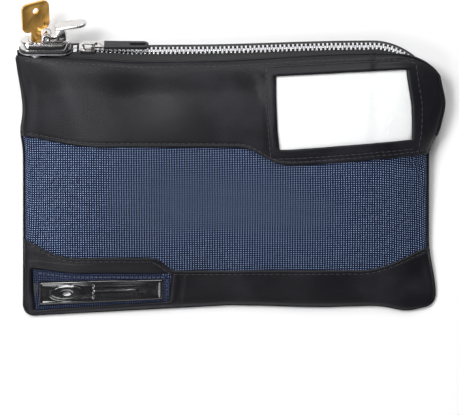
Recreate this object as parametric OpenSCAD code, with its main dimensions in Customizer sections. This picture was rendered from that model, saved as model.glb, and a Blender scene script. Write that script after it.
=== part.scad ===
// Lockable cash deposit bag with a zip, a label window and a keyed lock.
// The bag lies on its back: +X runs along the zip, +Y points to the zip edge,
// +Z points out of the front. The origin is the centre of the resting face.

/* [Bag] */
// Half of the bag's width, at the side seams
half_w = 131; // [125:1:136]
// Height of the stuffed front above the side seams
crown = 18; // [10:1:24]
// Height of the side and bottom seams above the table
seam_z = 4.2; // [4.2:0.1:6]
// Thickness of the vinyl
vinyl = 1.0; // [0.8:0.1:1.1]
// Thickness of the nylon and the lining
nylon = 0.7; // [0.5:0.1:0.8]

/* [Window and badge] */
// Left side of the window
window_x0 = 29; // [20:1:35]
// Right side of the window
window_x1 = 115; // [105:1:118]
// Left side of the badge cut-out
badge_x0 = -125; // [-126:1:-115]
// Right side of the badge cut-out
badge_x1 = -38; // [-50:1:-30]

/* [Zip] */
// Distance from one tooth to the next on the same tape
pitch = 2.7; // [2.4:0.1:3]
// Where the zip's straight run meets the middle of the bag
zip_y = 84.7; // [82:0.1:87]
// Height of the chain above the table
zip_z = 12; // [11:0.5:13]
// Slope of the zip's straight run
zip_slope = 0.5; // [0:0.1:1]
// Angle of the chain's face above the horizontal
zip_roll = 45; // [40:1:50]
// Radius of the corner that the zip turns
corner_r = 40; // [36:1:42]

/* [Lock] */
// Length of the lock housing
lock_len = 32.2; // [30:0.2:34]
// Width of the lock housing
lock_w = 12; // [11.6:0.2:13]
// Height of the lock housing
lock_h = 4.2; // [4.2:0.1:5]
// Angle of the lock's face above the horizontal
lock_roll = 32; // [28:1:40]
// How far the lever stands open
lever_open = 9; // [6:1:9]
// How far the key is turned
key_turn = 30; // [20:1:35]

/* [Hidden] */
$fn = 48;
eps = 0.01;

// ---- shape of the bag ----

function ease(a, b, x) = let (t = min(max((x - a) / (b - a), 0), 1)) t * t * (3 - 2 * t);
function span(a, b, n) = [for (i = [0:n]) a + (b - a) * i / n];
function chain_y(x) = zip_y + x * tan(zip_slope);

// the corner's centre, where the straight run of the zip ends
corner_x = 90;
corner_y = chain_y(corner_x) - corner_r;
function corner(x, a, b) = corner_y + b * sqrt(max(0, 1 - pow((x - corner_x) / a, 2)));

// the bottom edge, the front fold below the zip and the back fold above it
bottom_r = 7;
fold_corner = [98, 50];
fold_across = 37;
function bell(x, centre, width) = exp(-pow((x - centre) / width, 2));
function bottom_edge(x) =
    let (past = min(max((abs(x) - half_w + bottom_r) / bottom_r, 0), 1))
    -76.8 - 0.052 * max(0, -x) - 1.2 * bell(x, 55, 30) - 3.2 * bell(x, 112, 12)
        + 6.5 * (1 - sqrt(1 - pow(past, 2)));
function fold_gap(x) = 7 - 3.4 * ease(-20, 86, x);
function straight_fold(x) = chain_y(x) - fold_gap(x) + 3.3 * ease(66, 135, -x);
function front_fold(x) = x < fold_corner[0] ? straight_fold(x)
    : fold_corner[1] + (straight_fold(fold_corner[0]) - fold_corner[1])
        * sqrt(max(0, 1 - pow((x - fold_corner[0]) / fold_across, 2)));
function back_rise(x) = x > corner_x
    ? corner(x, 42.5, chain_y(corner_x) + 3.6 - corner_y)
    : chain_y(x) + 3.6;
function back_fold(x) = back_rise(x) - 4 * ease(116, 131, -x);

// the two stepped seams where the vinyl laps over the nylon
function upper_seam(x) = 21.5 + 12.5 * ease(80, 165, -x) - 10.5 * ease(6, 34, x) + 0.085 * max(0, x - 44);
function lower_seam(x) = -47.5 - 8 * ease(-51, -35, x) + 16 * ease(98, 145, -x) + 18 * ease(82, 145, x);

// the side seams bulge beside the window and pinch below it
function right_seam(y) = -5.6 + 5.6 * ease(18, 36, y) + 3.9 * bell(y, 50, 13) + 4.2 * ease(35, 70, -y);
function left_seam(y) = 0.5 - 4.2 * ease(45, 84, y) - 1.6 * bell(y, 33, 8);
function side(x, y) = x + (x > 0 ? right_seam(y) : left_seam(y)) * pow(abs(x) / half_w, 9);

// height of the front's outer surface, from the share t of the way up at width x
function corner_rise(x) = 3.6 + 0.8 * ease(corner_x, 100, x) - 1.9 * ease(100, half_w, x);
function front_z(x, t) = let (e = pow(abs(x) / half_w, 6),
        rise = zip_z + (x > corner_x ? corner_rise(x) : fold_gap(x)) - seam_z)
    seam_z + rise * (t * (1 - e) + pow(t, x > 0 ? 2 : 4) * e)
    + crown * pow(max(0, 4 * t * (1 - t)), 0.7) * pow(1 - pow(abs(x) / (half_w + 0.5), 4), 0.7);

// a point on the front at width x and height y, and one on the back
function on_front(x, y, depth) = let (lo = bottom_edge(x), t = (y - lo) / (front_fold(x) - lo))
    [side(x, y), y, front_z(x, min(max(t, 0), 1)) - depth];
function back_lift(x) = 6.9 - 2.6 * ease(85, 100, -x) - 5.9 * ease(88, 122, x);
function on_back(x, y, depth) = let (lift = ease(back_rise(x) - 16, back_rise(x) + 6, y))
    [side(x, y), y, vinyl + back_lift(x) * lift - depth];

// a curved sheet: columns xs, rows ts from the edge low(x) to the edge high(x)
module sheet(xs, ts, low, high, place, depth, thick, open = function(i, j) false) {
    nx = len(xs) - 1;
    ny = len(ts) - 1;
    layer = (nx + 1) * (ny + 1);
    function row_y(x, t) = low(x) + (high(x) - low(x)) * t;
    function at(i, j, k) = (i * (ny + 1)) + j + k * layer;
    function solid(i, j) = i >= 0 && i < nx && j >= 0 && j < ny && !open(i, j);
    points = [for (d = [depth, depth + thick]) for (x = xs) for (t = ts) place(x, row_y(x, t), d)];
    function wall(i0, j0, i1, j1) = [
        [at(i0, j0, 0), at(i1, j1, 0), at(i1, j1, 1)],
        [at(i0, j0, 0), at(i1, j1, 1), at(i0, j0, 1)]
    ];
    faces = [for (i = [0:nx - 1]) for (j = [0:ny - 1]) if (solid(i, j)) each concat(
        [[at(i, j, 0), at(i, j + 1, 0), at(i + 1, j + 1, 0)]],
        [[at(i, j, 0), at(i + 1, j + 1, 0), at(i + 1, j, 0)]],
        [[at(i, j, 1), at(i + 1, j + 1, 1), at(i, j + 1, 1)]],
        [[at(i, j, 1), at(i + 1, j, 1), at(i + 1, j + 1, 1)]],
        solid(i, j - 1) ? [] : wall(i, j, i + 1, j),
        solid(i + 1, j) ? [] : wall(i + 1, j, i + 1, j + 1),
        solid(i, j + 1) ? [] : wall(i + 1, j + 1, i, j + 1),
        solid(i - 1, j) ? [] : wall(i, j + 1, i, j)
    )];
    polyhedron(points, faces, convexity = 6);
}

front = function(x, y, d) on_front(x, y, d);
back = function(x, y, d) on_back(x, y, d);
seam_over = 7;
function lower_lap(x) = seam_over - 5 * (1 - ease(-36, -26, x));
under_vinyl = vinyl + 0.15;
plain_xs = concat(span(-half_w, -100, 5), span(-90, 90, 15), span(98, half_w, 6));
window_xs = concat(span(-half_w, -100, 4), span(-85, 20, 8), span(window_x0, window_x1, 9),
    span(120, half_w, 4));
badge_t0 = 0.11;
badge_t1 = 0.72;
ground_xs = concat([badge_x0 - 2], span(badge_x0, badge_x1, 9), [badge_x1 + 4]);
ground_ts = concat([0.06], span(badge_t0, badge_t1, 4), [0.77]);
badge_xs = concat([-half_w], ground_xs, span(-25, 90, 9), span(98, half_w, 5));
window_t0 = 0.143;
window_t1 = 0.83;
window_ts = concat([0], span(window_t0, window_t1, 7), [0.92, 1]);
badge_ts = concat([0], ground_ts, [0.86, 1]);

module front_upper_panel() {
    color("#2c2c31") sheet(window_xs, window_ts, function(x) upper_seam(x), function(x) front_fold(x),
        front, 0, vinyl, function(i, j) window_xs[i] > window_x0 - 1 && window_xs[i] < window_x1 - 1
            && window_ts[j] > window_t0 - 0.01 && window_ts[j] < window_t1 - 0.01);
}

module front_middle_panel() {
    color("#34486e") sheet(plain_xs, span(0, 1, 8), function(x) lower_seam(x) - lower_lap(x),
        function(x) upper_seam(x) + seam_over, front, under_vinyl, nylon);
}

module front_lower_panel() {
    color("#2c2c31") sheet(badge_xs, badge_ts, function(x) bottom_edge(x), function(x) lower_seam(x),
        front, 0, vinyl, function(i, j) badge_xs[i] > badge_x0 - 1 && badge_xs[i] < badge_x1 - 1
            && badge_ts[j] > badge_t0 - 0.01 && badge_ts[j] < badge_t1 - 0.01);
}

module back_upper_panel() {
    color("#2c2c31") sheet(plain_xs, concat([0], span(0.55, 1, 7)), function(x) upper_seam(x),
        function(x) back_fold(x), back, 0, vinyl);
}

// the back's lower two panels are flat plates between two outlines
module plate(x0, x1, low, high, z, thick) {
    xs = span(x0, x1, 24);
    translate([0, 0, z]) linear_extrude(thick) polygon(concat(
        [for (x = xs) [side(x, low(x)), low(x)]],
        [for (i = [len(xs) - 1:-1:0]) [side(xs[i], high(xs[i])), high(xs[i])]]));
}

module back_middle_panel() {
    color("#34486e") plate(-half_w, half_w, function(x) lower_seam(x) + 0.3,
        function(x) upper_seam(x) - 0.3, 0, vinyl);
}

module back_lower_panel() {
    color("#2c2c31") plate(-half_w, half_w, function(x) bottom_edge(x), function(x) lower_seam(x),
        0, vinyl);
}

lining_depth = 4.4;
module front_lining() {
    color("#1d1f26") sheet(concat(span(-104, -90, 1), span(-78, 96, 12), [108, 118]), span(0, 1, 12),
        function(x) bottom_edge(x) + 8, function(x) front_fold(x) - 9, front, lining_depth, nylon);
}

module back_lining() {
    color("#1d1f26") plate(-120, 120, function(x) bottom_edge(x) + 8,
        function(x) min(68, back_fold(x) - 20), vinyl + 0.2, nylon);
}

// strip inside the seam, along the left side, the bottom and the right side
module seam_welt() {
    welt = 4;
    color("#17181c") difference() {
        plate(-half_w, half_w, function(x) bottom_edge(x), function(x) 40 - 16 * ease(0, half_w, x),
            vinyl + 0.1, 0.9);
        translate([0, 0, -1]) plate(-half_w + welt, half_w - welt, function(x) bottom_edge(x) + welt,
            function(x) 60, 0, 6);
    }
}

module window_film() {
    color([0.9, 0.95, 1, 0.4]) sheet(span(window_x0 - 3, window_x1 + 3, 8), span(0.125, 0.87, 6),
        function(x) upper_seam(x), function(x) front_fold(x), front, under_vinyl, 0.4);
}

module address_card() {
    color("#f6f6f4") sheet(span(window_x0 - 1.5, window_x1 + 1.5, 8), span(0.135, 0.855, 6),
        function(x) upper_seam(x), function(x) front_fold(x), front, under_vinyl + 0.6, 0.4);
}

module card_pocket() {
    color("#1d1f26") sheet(span(window_x0 - 6, window_x1 + 5, 8), span(0.1, 0.9, 6),
        function(x) upper_seam(x), function(x) front_fold(x), front, under_vinyl + 1.2, nylon);
}

module badge_ground() {
    color("#34486e") sheet(ground_xs, ground_ts,
        function(x) bottom_edge(x), function(x) lower_seam(x), front, under_vinyl, 0.5);
}

module badge_plate() {
    color("#101013") sheet(span(badge_x0 + 4, badge_x1 - 4, 9), span(0.18, 0.6, 4),
        function(x) bottom_edge(x), function(x) lower_seam(x), front, 0.05, 1.0);
}

// ---- zip ----

zip_x0 = -100;
run = (corner_x - corner_r * sin(zip_slope) - zip_x0) / cos(zip_slope);
turn = corner_r * (90 + zip_slope) * PI / 180;
tail = 9;
zip_len = run + turn + tail;
function turned(s) = max(0, min(s - run, turn)) / turn;
function heading(s) = zip_slope - (90 + zip_slope) * turned(s);
function roll(s) = zip_roll * (1 - ease(run - 8, run + turn, s));
function chain_at(s) =
    let (h = heading(s), past = max(0, s - run - turn), c = [corner_x, corner_y])
    let (z = zip_z - 4 * ease(run, run + turn, s))
    s < run ? [zip_x0 + s * cos(zip_slope), chain_y(zip_x0) + s * sin(zip_slope), z]
    : [c[0] - corner_r * sin(h), c[1] + corner_r * cos(h) - past, z];

// a point at the distance v across the zip and n above its face
function zip_point(s, v, n) =
    let (h = heading(s), r = roll(s), out = [-sin(h), cos(h), 0], up = [0, 0, 1])
    chain_at(s) + v * (sin(r) * out - cos(r) * up) + n * (cos(r) * out + sin(r) * up);

module on_zip(s) {
    translate(chain_at(s)) rotate([0, 0, heading(s)]) rotate([roll(s) - 90, 0, 0]) children();
}

// a tape between two distances across the zip, whose edge v0 narrows by taper towards the corner
module tape(v0, v1, taper) {
    half = 0.3;
    stations = concat([0], span(80, run - 10, 6), span(run, zip_len, 22));
    last = len(stations) - 1;
    polyhedron(
        [for (s = stations)
            let (v = v0 + taper * ease(80, 186, s) + (v0 < 0 ? 0.4 * ease(240, zip_len, s) : 0))
            for (p = [[v, -half], [v1, -half], [v1, half], [v, half]]) zip_point(s, p[0], p[1])],
        concat(
            [[0, 1, 2], [0, 2, 3]],
            [for (i = [0:last - 1]) for (k = [0:3]) let (a = 4 * i + k, b = 4 * i + (k + 1) % 4)
                each [[a, a + 4, b + 4], [a, b + 4, b]]],
            [[4 * last + 2, 4 * last + 1, 4 * last], [4 * last + 3, 4 * last + 2, 4 * last]]),
        convexity = 6);
}

tooth_root = 3.0;
tape_root = 3.1;
module zip_tape_front() {
    color("#141416") tape(-8.7, -tape_root, 4.8);
}

module zip_tape_back() {
    color("#141416") tape(tape_root, 5.6, 0);
}

first_tooth = 8.8;
teeth = floor((zip_len - first_tooth - 6) / pitch);
tooth_w = 1.15;
tooth_t = 2.4;
// a tooth with a wide root on the tape and a rounded head past the middle
module tooth() {
    reach = 1.1;
    linear_extrude(tooth_t, center = true) polygon([
        [-tooth_w / 2, -tooth_root], [tooth_w / 2, -tooth_root], [tooth_w / 2, reach - 0.5],
        [tooth_w / 4, reach], [-tooth_w / 4, reach], [-tooth_w / 2, reach - 0.5]
    ]);
}

module zip_teeth_front() {
    color("#d9dadc") for (i = [0:teeth - 1]) on_zip(first_tooth + i * pitch) tooth();
}

module zip_teeth_back() {
    color("#d9dadc") for (i = [0:teeth - 1])
        on_zip(first_tooth + (i + 0.5) * pitch) rotate([0, 0, 180]) tooth();
}

module zip_top_stops() {
    color("#d0d1d4") on_zip(2.5) for (v = [-1.55, 1.55]) translate([0, v, 0]) intersection() {
        cube([2.4, 2.8, 2.8], center = true);
        rotate([0, 90, 0]) cylinder(h = 4, r = 1.75, center = true);
    }
}

module zip_end_stop() {
    color("#d0d1d4") on_zip(zip_len - 2.5) translate([-1.5, -1.4, -1.2]) cube([3, 4.2, 2.2]);
}

// ---- slider and pull, on the zip's axes ----

slider_s = 10;
slider_len = 10.4;
plate_gap = 1.5;
plate_t = 1.0;
bail_n = 4.0;
bail_u = 3.2;

module slider_outline() {
    polygon([
        [-slider_len / 2, -2.6], [-slider_len / 2 + 1.6, -4.4], [-0.5, -4.4],
        [slider_len / 2, -4.2], [slider_len / 2, 4.2],
        [-0.5, 4.4], [-slider_len / 2 + 1.6, 4.4], [-slider_len / 2, 2.6]
    ]);
}

module slider_body() {
    flange_gap = 0.6;
    color("#c9cacd") on_zip(slider_s) difference() {
        union() {
            translate([0, 0, plate_gap]) linear_extrude(plate_t) slider_outline();
            translate([0, 0, -plate_gap - plate_t]) linear_extrude(plate_t) slider_outline();
            for (v = [-1, 1]) for (n = [-1, 1])
                translate([0.4, v * 4, n * (plate_gap + flange_gap) / 2])
                    cube([8, 0.6, plate_gap - flange_gap + eps], center = true);
            translate([-slider_len / 2 + 1.4, 0, 0])
                cylinder(h = 2 * plate_gap + eps, r = 1.2, center = true);
        }
        translate([-slider_len / 2 - 1, 0, plate_gap + plate_t + 0.6]) rotate([0, 30, 0])
            cube([3, 12, 1.4], center = true);
    }
}

// the arch on the slider that the pull's cross-bar swings under
module slider_bail() {
    base = plate_gap + plate_t;
    arch_w = 2.4;
    arch_n = bail_n + 1.1;
    color("#c9cacd") on_zip(slider_s) translate([0, -arch_w / 2, 0]) {
        translate([-3, 0, base]) cube([1.6, arch_w, arch_n - base]);
        translate([bail_u + 1.2, 0, base]) cube([0.8, arch_w, arch_n - base]);
        translate([-3, 0, arch_n]) cube([bail_u + 5, arch_w, 1]);
    }
}

pull_dip = 1.5;
sleeve_u = 7.7;
sleeve_len = 28;
sleeve_w = 5.7;
sleeve_t = 2.6;
shank_w = 3;
shank_t = 1;

// places children on the pull's own axes, from its cross-bar
module on_pull() {
    on_zip(slider_s) translate([bail_u, 0, bail_n]) rotate([0, pull_dip, 0]) children();
}

module pull_shank() {
    translate([sleeve_u - eps, -shank_w / 2, -shank_t / 2]) cube([sleeve_len * 0.45, shank_w, shank_t]);
}

module pull_tab() {
    arm = 1;
    color("#c9cacd") on_pull() {
        rotate([90, 0, 0]) cylinder(h = 2 * (1.6 + arm), r = 0.7, center = true);
        for (v = [-1.6 - arm, 1.6]) translate([0, v, -0.6]) cube([4, arm, 1.2]);
        translate([3.4, -1.6 - arm, -0.6]) cube([sleeve_u - 3.4, 2 * (1.6 + arm), 1.2]);
        pull_shank();
    }
}

module pull_sleeve() {
    r = sleeve_w / 2;
    slot_r = 1.1;
    slot_u0 = sleeve_u + sleeve_len - r - 8;
    slot_u1 = sleeve_u + sleeve_len - r;
    color("#26262a") on_pull() difference() {
        translate([0, 0, -sleeve_t / 2]) linear_extrude(sleeve_t) difference() {
            union() {
                translate([sleeve_u, -r]) square([sleeve_len - r, sleeve_w]);
                translate([slot_u1, 0]) circle(r);
            }
            translate([slot_u0, -slot_r]) square([slot_u1 - slot_u0, 2 * slot_r]);
            translate([slot_u0, 0]) circle(slot_r);
            translate([slot_u1, 0]) circle(slot_r);
        }
        pull_shank();
    }
}

// ---- lock, on axes along its length, across it and out of its face ----

lock_x = -116;
lock_y = 86;
lock_z = 14;
plug_u = -5.7;
plug_r = 4.5;
bore_gap = 0.05;
cover_t = 0.8;
base_t = 0.8;
wall = 0.9;
cover_n = lock_h + cover_t;
pivot_u = 1;
pivot_n = cover_n + 2.9;
pin_r = 0.9;
slot_u0 = 7;
slot_u1 = 13;
slot_w = 4.6;
rivet_u = 13.4;

module on_lock() {
    translate([lock_x, lock_y, lock_z]) rotate([lock_roll - 90, 0, 0]) children();
}

module stadium(len, w) {
    square([len - w, w], center = true);
    for (u = [-1, 1]) translate([u * (len - w) / 2, 0]) circle(w / 2);
}

// a flat layer of the lock between two heights, with the barrel's hole and the rivets' holes
module lock_layer(n0, n1, grow, hole_r) {
    translate([0, 0, n0]) linear_extrude(n1 - n0) difference() {
        stadium(lock_len + 2 * grow, lock_w + 2 * grow);
        translate([plug_u, 0]) circle(hole_r);
        for (u = [-1, 1]) translate([u * rivet_u, 0]) circle(1 + bore_gap);
    }
}

barrel_r = plug_r + 1.4;
gasket_t = 0.8;
tab_t = 0.8;
module lock_base_plate() {
    color("#b9babd") on_lock() lock_layer(-base_t, 0, 0, plug_r + bore_gap);
}

module lock_gasket() {
    color("#1b1b1d") on_lock() lock_layer(-base_t - gasket_t, -base_t, 0.7, barrel_r + bore_gap);
}

module zip_end_tab() {
    color("#1b1b1d") on_lock()
        lock_layer(-base_t - gasket_t - tab_t, -base_t - gasket_t, 0.4, barrel_r + bore_gap);
}

clamp_n = base_t + gasket_t + tab_t;
module lock_backing_plate() {
    color("#9a9b9e") on_lock() lock_layer(-clamp_n - 0.8, -clamp_n, 0.8, barrel_r + bore_gap);
}

module lock_rivets() {
    color("#b9babd") on_lock() for (u = [-1, 1]) translate([u * rivet_u, 0, 0]) {
        translate([0, 0, -clamp_n - 0.8 - 0.7]) cylinder(h = 0.7, r = 1.5);
        translate([0, 0, -clamp_n - 0.8]) cylinder(h = clamp_n + 0.8, r = 1);
        cylinder(h = 0.6, r = 1.5);
    }
}

module lock_barrel() {
    color("#8e8f92") on_lock() translate([0, 0, -12]) difference() {
        translate([plug_u, 0, 0]) cylinder(h = 12 - base_t, r = barrel_r);
        translate([plug_u, 0, -1]) cylinder(h = 14, r = plug_r + bore_gap);
    }
}

module lock_housing() {
    color("#d2d4d8") on_lock() difference() {
        linear_extrude(lock_h) stadium(lock_len, lock_w);
        translate([0, 0, -eps]) linear_extrude(lock_h - wall)
            stadium(lock_len - 2 * wall, lock_w - 2 * wall);
        translate([plug_u, 0, -1]) cylinder(h = lock_h + 2, r = plug_r + bore_gap);
        translate([slot_u0, -slot_w / 2, 1]) cube([slot_u1 - slot_u0, slot_w, lock_h]);
    }
}

ear_v = 4.2;
ear_t = 1.0;
module lock_cover() {
    inset = 0.8;
    color("#d8dade") on_lock() difference() {
        union() {
            translate([0, 0, lock_h]) linear_extrude(cover_t)
                stadium(lock_len - 2 * inset, lock_w - 2 * inset);
            for (v = [-ear_v - ear_t, ear_v]) translate([pivot_u, v, pivot_n]) {
                rotate([-90, 0, 0]) cylinder(h = ear_t, r = 2.4);
                translate([-2.4, 0, lock_h - pivot_n]) cube([4.8, ear_t, pivot_n - lock_h]);
            }
        }
        translate([plug_u, 0, 0]) cylinder(h = lock_h + 4, r = plug_r + 0.8);
        translate([slot_u0, -slot_w / 2, 1]) cube([slot_u1 - slot_u0, slot_w, lock_h]);
        translate([pivot_u, 0, pivot_n]) rotate([90, 0, 0])
            cylinder(h = 14, r = pin_r + bore_gap, center = true);
    }
}

module lever_pin() {
    color("#b9babd") on_lock() translate([pivot_u, 0, pivot_n]) rotate([90, 0, 0])
        cylinder(h = 2 * (ear_v + ear_t), r = pin_r, center = true);
}

// coils of the spring beside the knuckle, round the pin
module lever_spring() {
    wire_r = 0.3;
    color("#9a9b9e") on_lock() translate([pivot_u, 0, pivot_n]) rotate([90, 0, 0])
        for (k = [-1, 1]) translate([0, 0, k * (ear_v - 0.45)])
            rotate_extrude() translate([pin_r + 0.6, 0]) circle(wire_r);
}

key_w = 6.6;
key_t = 1.9;
keyway_end = -10;
head_n = cover_n + 0.2;

module lock_plug() {
    color("#c3c5c9") on_lock() translate([plug_u, 0, 0]) rotate([0, 0, key_turn]) difference() {
        union() {
            translate([0, 0, -12]) cylinder(h = 12 + lock_h + 0.05, r = plug_r);
            translate([0, 0, lock_h + 0.05]) cylinder(h = head_n - lock_h - 0.05, r = plug_r + 0.5);
        }
        translate([-key_w / 2 - 0.2, -key_t / 2 - 0.2, keyway_end]) cube([key_w + 0.4, key_t + 0.4, 30]);
        for (k = [0:3]) translate([-4.1, -1.7, -8.4 + 2 * k]) cube([8.2, 3.4, 0.9]);
    }
}

module plug_wafers() {
    color("#b59a4e") on_lock() translate([plug_u, 0, 0]) rotate([0, 0, key_turn])
        for (k = [0:3]) translate([0, 0, -8.35 + 2 * k]) difference() {
            translate([-4, -1.6, 0]) cube([8, 3.2, 0.8]);
            translate([-key_w / 2 - 0.15, -key_t / 2 - 0.15, -1]) cube([key_w + 0.3, key_t + 0.3, 3]);
        }
}

cam_n0 = 0.6;
cam_n1 = 2.2;
module plug_cam() {
    lobe_r = 5.9;
    color("#8e8f92") on_lock() translate([plug_u, 0, cam_n0]) rotate([0, 0, key_turn]) difference() {
        union() {
            cylinder(h = cam_n1 - cam_n0, r = plug_r + 0.4);
            rotate([0, 0, -45]) translate([0, -0.8, 0]) cube([lobe_r - 0.1, 1.6, cam_n1 - cam_n0]);
        }
        translate([0, 0, -1]) cylinder(h = 5, r = plug_r);
    }
}

module latch_bolt() {
    color("#8e8f92") on_lock() translate([0, 0, cam_n0]) {
        translate([1.7, -3, 0]) cube([3.3, 6, cam_n1 - cam_n0]);
        translate([4.9, -1.4, 0]) cube([2.2, 2.8, cam_n1 - cam_n0]);
    }
}

bow_n0 = 11.2;
bow_h = 19.8;
bow_w = 18.8;
ring_hole_r = 1.9;
ring_hole_n = 25.3;
blade_end = -9;

// flat outline of the key, with its width along the first axis
module key_outline() {
    corner = 4;
    difference() {
        union() {
            translate([0, bow_n0 + bow_h / 2]) {
                square([bow_w - 2 * corner, bow_h], center = true);
                square([bow_w, bow_h - 2 * corner], center = true);
                for (u = [-1, 1]) for (n = [-1, 1])
                    translate([u * (bow_w / 2 - corner), n * (bow_h / 2 - corner)]) circle(corner);
            }
            translate([-key_w / 2, blade_end]) square([key_w, bow_n0 - blade_end + 1]);
        }
        translate([0, ring_hole_n]) circle(ring_hole_r);
        for (k = [0:4]) translate([key_w / 2 + 0.3, blade_end + 1.6 + 2.3 * k]) rotate(45)
            square(1.3 + 0.3 * (k % 3), center = true);
        for (u = [-1, 1]) translate([u * key_w / 2, blade_end]) rotate(45) square(2.4, center = true);
    }
}

module key() {
    color("#c79a45") on_lock() translate([plug_u, 0, 0]) rotate([0, 0, key_turn]) rotate([90, 0, 0])
        linear_extrude(key_t, center = true) key_outline();
}

// ---- lever, drawn closed and then swung open about its pin ----

module on_lever() {
    on_lock() translate([pivot_u, 0, pivot_n]) rotate([0, -lever_open, 0])
        translate([-pivot_u, 0, -pivot_n]) children();
}

arm_end = 13.2;
block_u = 7.4;
arm_n = cover_n + 0.6;
block_n = 11.6;
module lever_arm() {
    knuckle_v = 3.2;
    color("#d2d4d8") on_lever() difference() {
        union() {
            translate([pivot_u, 0, pivot_n]) rotate([90, 0, 0])
                cylinder(h = 2 * knuckle_v, r = 2.6, center = true);
            translate([pivot_u, -knuckle_v, arm_n]) cube([arm_end - pivot_u, 2 * knuckle_v, 2]);
            translate([block_u, -knuckle_v, arm_n])
                cube([arm_end - block_u, 2 * knuckle_v, block_n - arm_n]);
        }
        translate([pivot_u, 0, pivot_n]) rotate([90, 0, 0])
            cylinder(h = 14, r = pin_r + bore_gap, center = true);
    }
}

paddle_end = 27.5;
paddle_w = 9;
paddle_t = 2.2;
module lever_paddle() {
    r = paddle_w / 2;
    color("#dcdde0") on_lever() translate([0, 0, block_n]) linear_extrude(paddle_t) union() {
        translate([block_u, -r]) square([paddle_end - r - block_u, paddle_w]);
        translate([paddle_end - r, 0]) circle(r);
    }
}

module lever_catch() {
    color("#b9babd") on_lever() translate([8.5, -1.8, 1.4]) cube([2.4, 3.6, arm_n - 1.4]);
}

front_upper_panel();
front_middle_panel();
front_lower_panel();
back_upper_panel();
back_middle_panel();
back_lower_panel();
front_lining();
back_lining();
seam_welt();
window_film();
address_card();
card_pocket();
badge_ground();
badge_plate();
zip_tape_front();
zip_tape_back();
zip_teeth_front();
zip_teeth_back();
zip_top_stops();
zip_end_stop();
zip_end_tab();
lock_gasket();
lock_base_plate();
lock_housing();
lock_cover();
lock_barrel();
lock_backing_plate();
lock_rivets();
lock_plug();
plug_wafers();
plug_cam();
key();
latch_bolt();
lever_arm();
lever_paddle();
lever_catch();
lever_pin();
lever_spring();
slider_body();
slider_bail();
pull_tab();
pull_sleeve();
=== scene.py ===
"""Finished model of a lockable cash deposit bag: cloth, zip, window, badge, lock and key."""

from __future__ import annotations

import logging
import math
from collections.abc import Callable, Sequence
from dataclasses import dataclass, field, replace
from enum import Enum

import bmesh
import bpy
import numpy as np
from mathutils import Matrix, Vector


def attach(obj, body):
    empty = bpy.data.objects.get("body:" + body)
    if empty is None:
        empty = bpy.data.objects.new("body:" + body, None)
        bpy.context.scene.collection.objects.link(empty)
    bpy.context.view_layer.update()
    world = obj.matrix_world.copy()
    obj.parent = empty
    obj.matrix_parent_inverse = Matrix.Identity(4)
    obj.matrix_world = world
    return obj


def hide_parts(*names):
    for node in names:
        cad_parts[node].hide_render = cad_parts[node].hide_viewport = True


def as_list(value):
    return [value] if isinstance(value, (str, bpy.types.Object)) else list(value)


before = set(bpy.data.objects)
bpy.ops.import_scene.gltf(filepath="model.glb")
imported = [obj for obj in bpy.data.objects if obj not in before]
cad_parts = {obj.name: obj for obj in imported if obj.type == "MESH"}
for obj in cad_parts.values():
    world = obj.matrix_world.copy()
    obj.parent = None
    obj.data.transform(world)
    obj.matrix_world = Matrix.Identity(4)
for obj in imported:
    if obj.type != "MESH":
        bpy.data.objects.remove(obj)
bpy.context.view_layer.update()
MM = 0.001
CLOTH_UV = "cloth"
TABLE_GAP = 0.0002
UP = np.array([0, 0, 1.0])
log = logging.getLogger("deposit_bag")


def ease(low: float, high: float, value: np.ndarray) -> np.ndarray:
    """Smooth step from 0 at low to 1 at high."""
    t = np.clip((value - low) / (high - low), 0, 1)
    return t * t * (3 - 2 * t)


def bump(value: np.ndarray, centre: float, width: float) -> np.ndarray:
    """Bell curve of height 1 round a centre."""
    return np.exp(-(((value - centre) / width) ** 2))


def spread(low: float, high: float, step: float) -> np.ndarray:
    """Evenly spaced values from low to high, no further apart than step."""
    return np.linspace(low, high, max(2, round(abs(high - low) / step) + 1))


def distances(line: np.ndarray) -> np.ndarray:
    """How far along a line each of its points is."""
    return np.concatenate([[0], np.cumsum(np.linalg.norm(np.diff(line, axis=0), axis=1))])


# ---------------------------------------------------------------- shader tools


class Field:
    """A shader socket that does sums: an expression on it adds the Math nodes."""

    def __init__(self, nodes: "Nodes", socket: bpy.types.NodeSocket):
        """Wraps an output socket of a node."""
        self.nodes = nodes
        self.socket = socket

    def math(self, operation: str, *others: "Field | float") -> "Field":
        """Adds one Math node.

        Args:
            operation: the node's operation, such as MULTIPLY.
            others: the second and third operands.

        Returns:
            The node's value.
        """
        inputs = {i: v for i, v in enumerate((self, *others))}
        return self.nodes.node("ShaderNodeMath", {"operation": operation}, inputs)

    def __add__(self, other: "Field | float") -> "Field":
        """Sum."""
        return self.math("ADD", other)

    def __mul__(self, other: "Field | float") -> "Field":
        """Product."""
        return self.math("MULTIPLY", other)

    def __sub__(self, other: "Field | float") -> "Field":
        """Difference."""
        return self.math("SUBTRACT", other)

    def __pow__(self, other: float) -> "Field":
        """Power."""
        return self.math("POWER", other)

    __radd__ = __add__

    def wave(self, pitch: float) -> "Field":
        """Ripples from 0 to 1, one for each pitch along this value."""
        return (self * (math.tau / pitch)).math("COSINE") * -0.5 + 0.5

    def step(self, low: float, high: float) -> "Field":
        """Smooth step from 0 at low to 1 at high."""
        inputs = {"Value": self, "From Min": low, "From Max": high}
        return self.nodes.node("ShaderNodeMapRange", {"interpolation_type": "SMOOTHSTEP"}, inputs)


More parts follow.
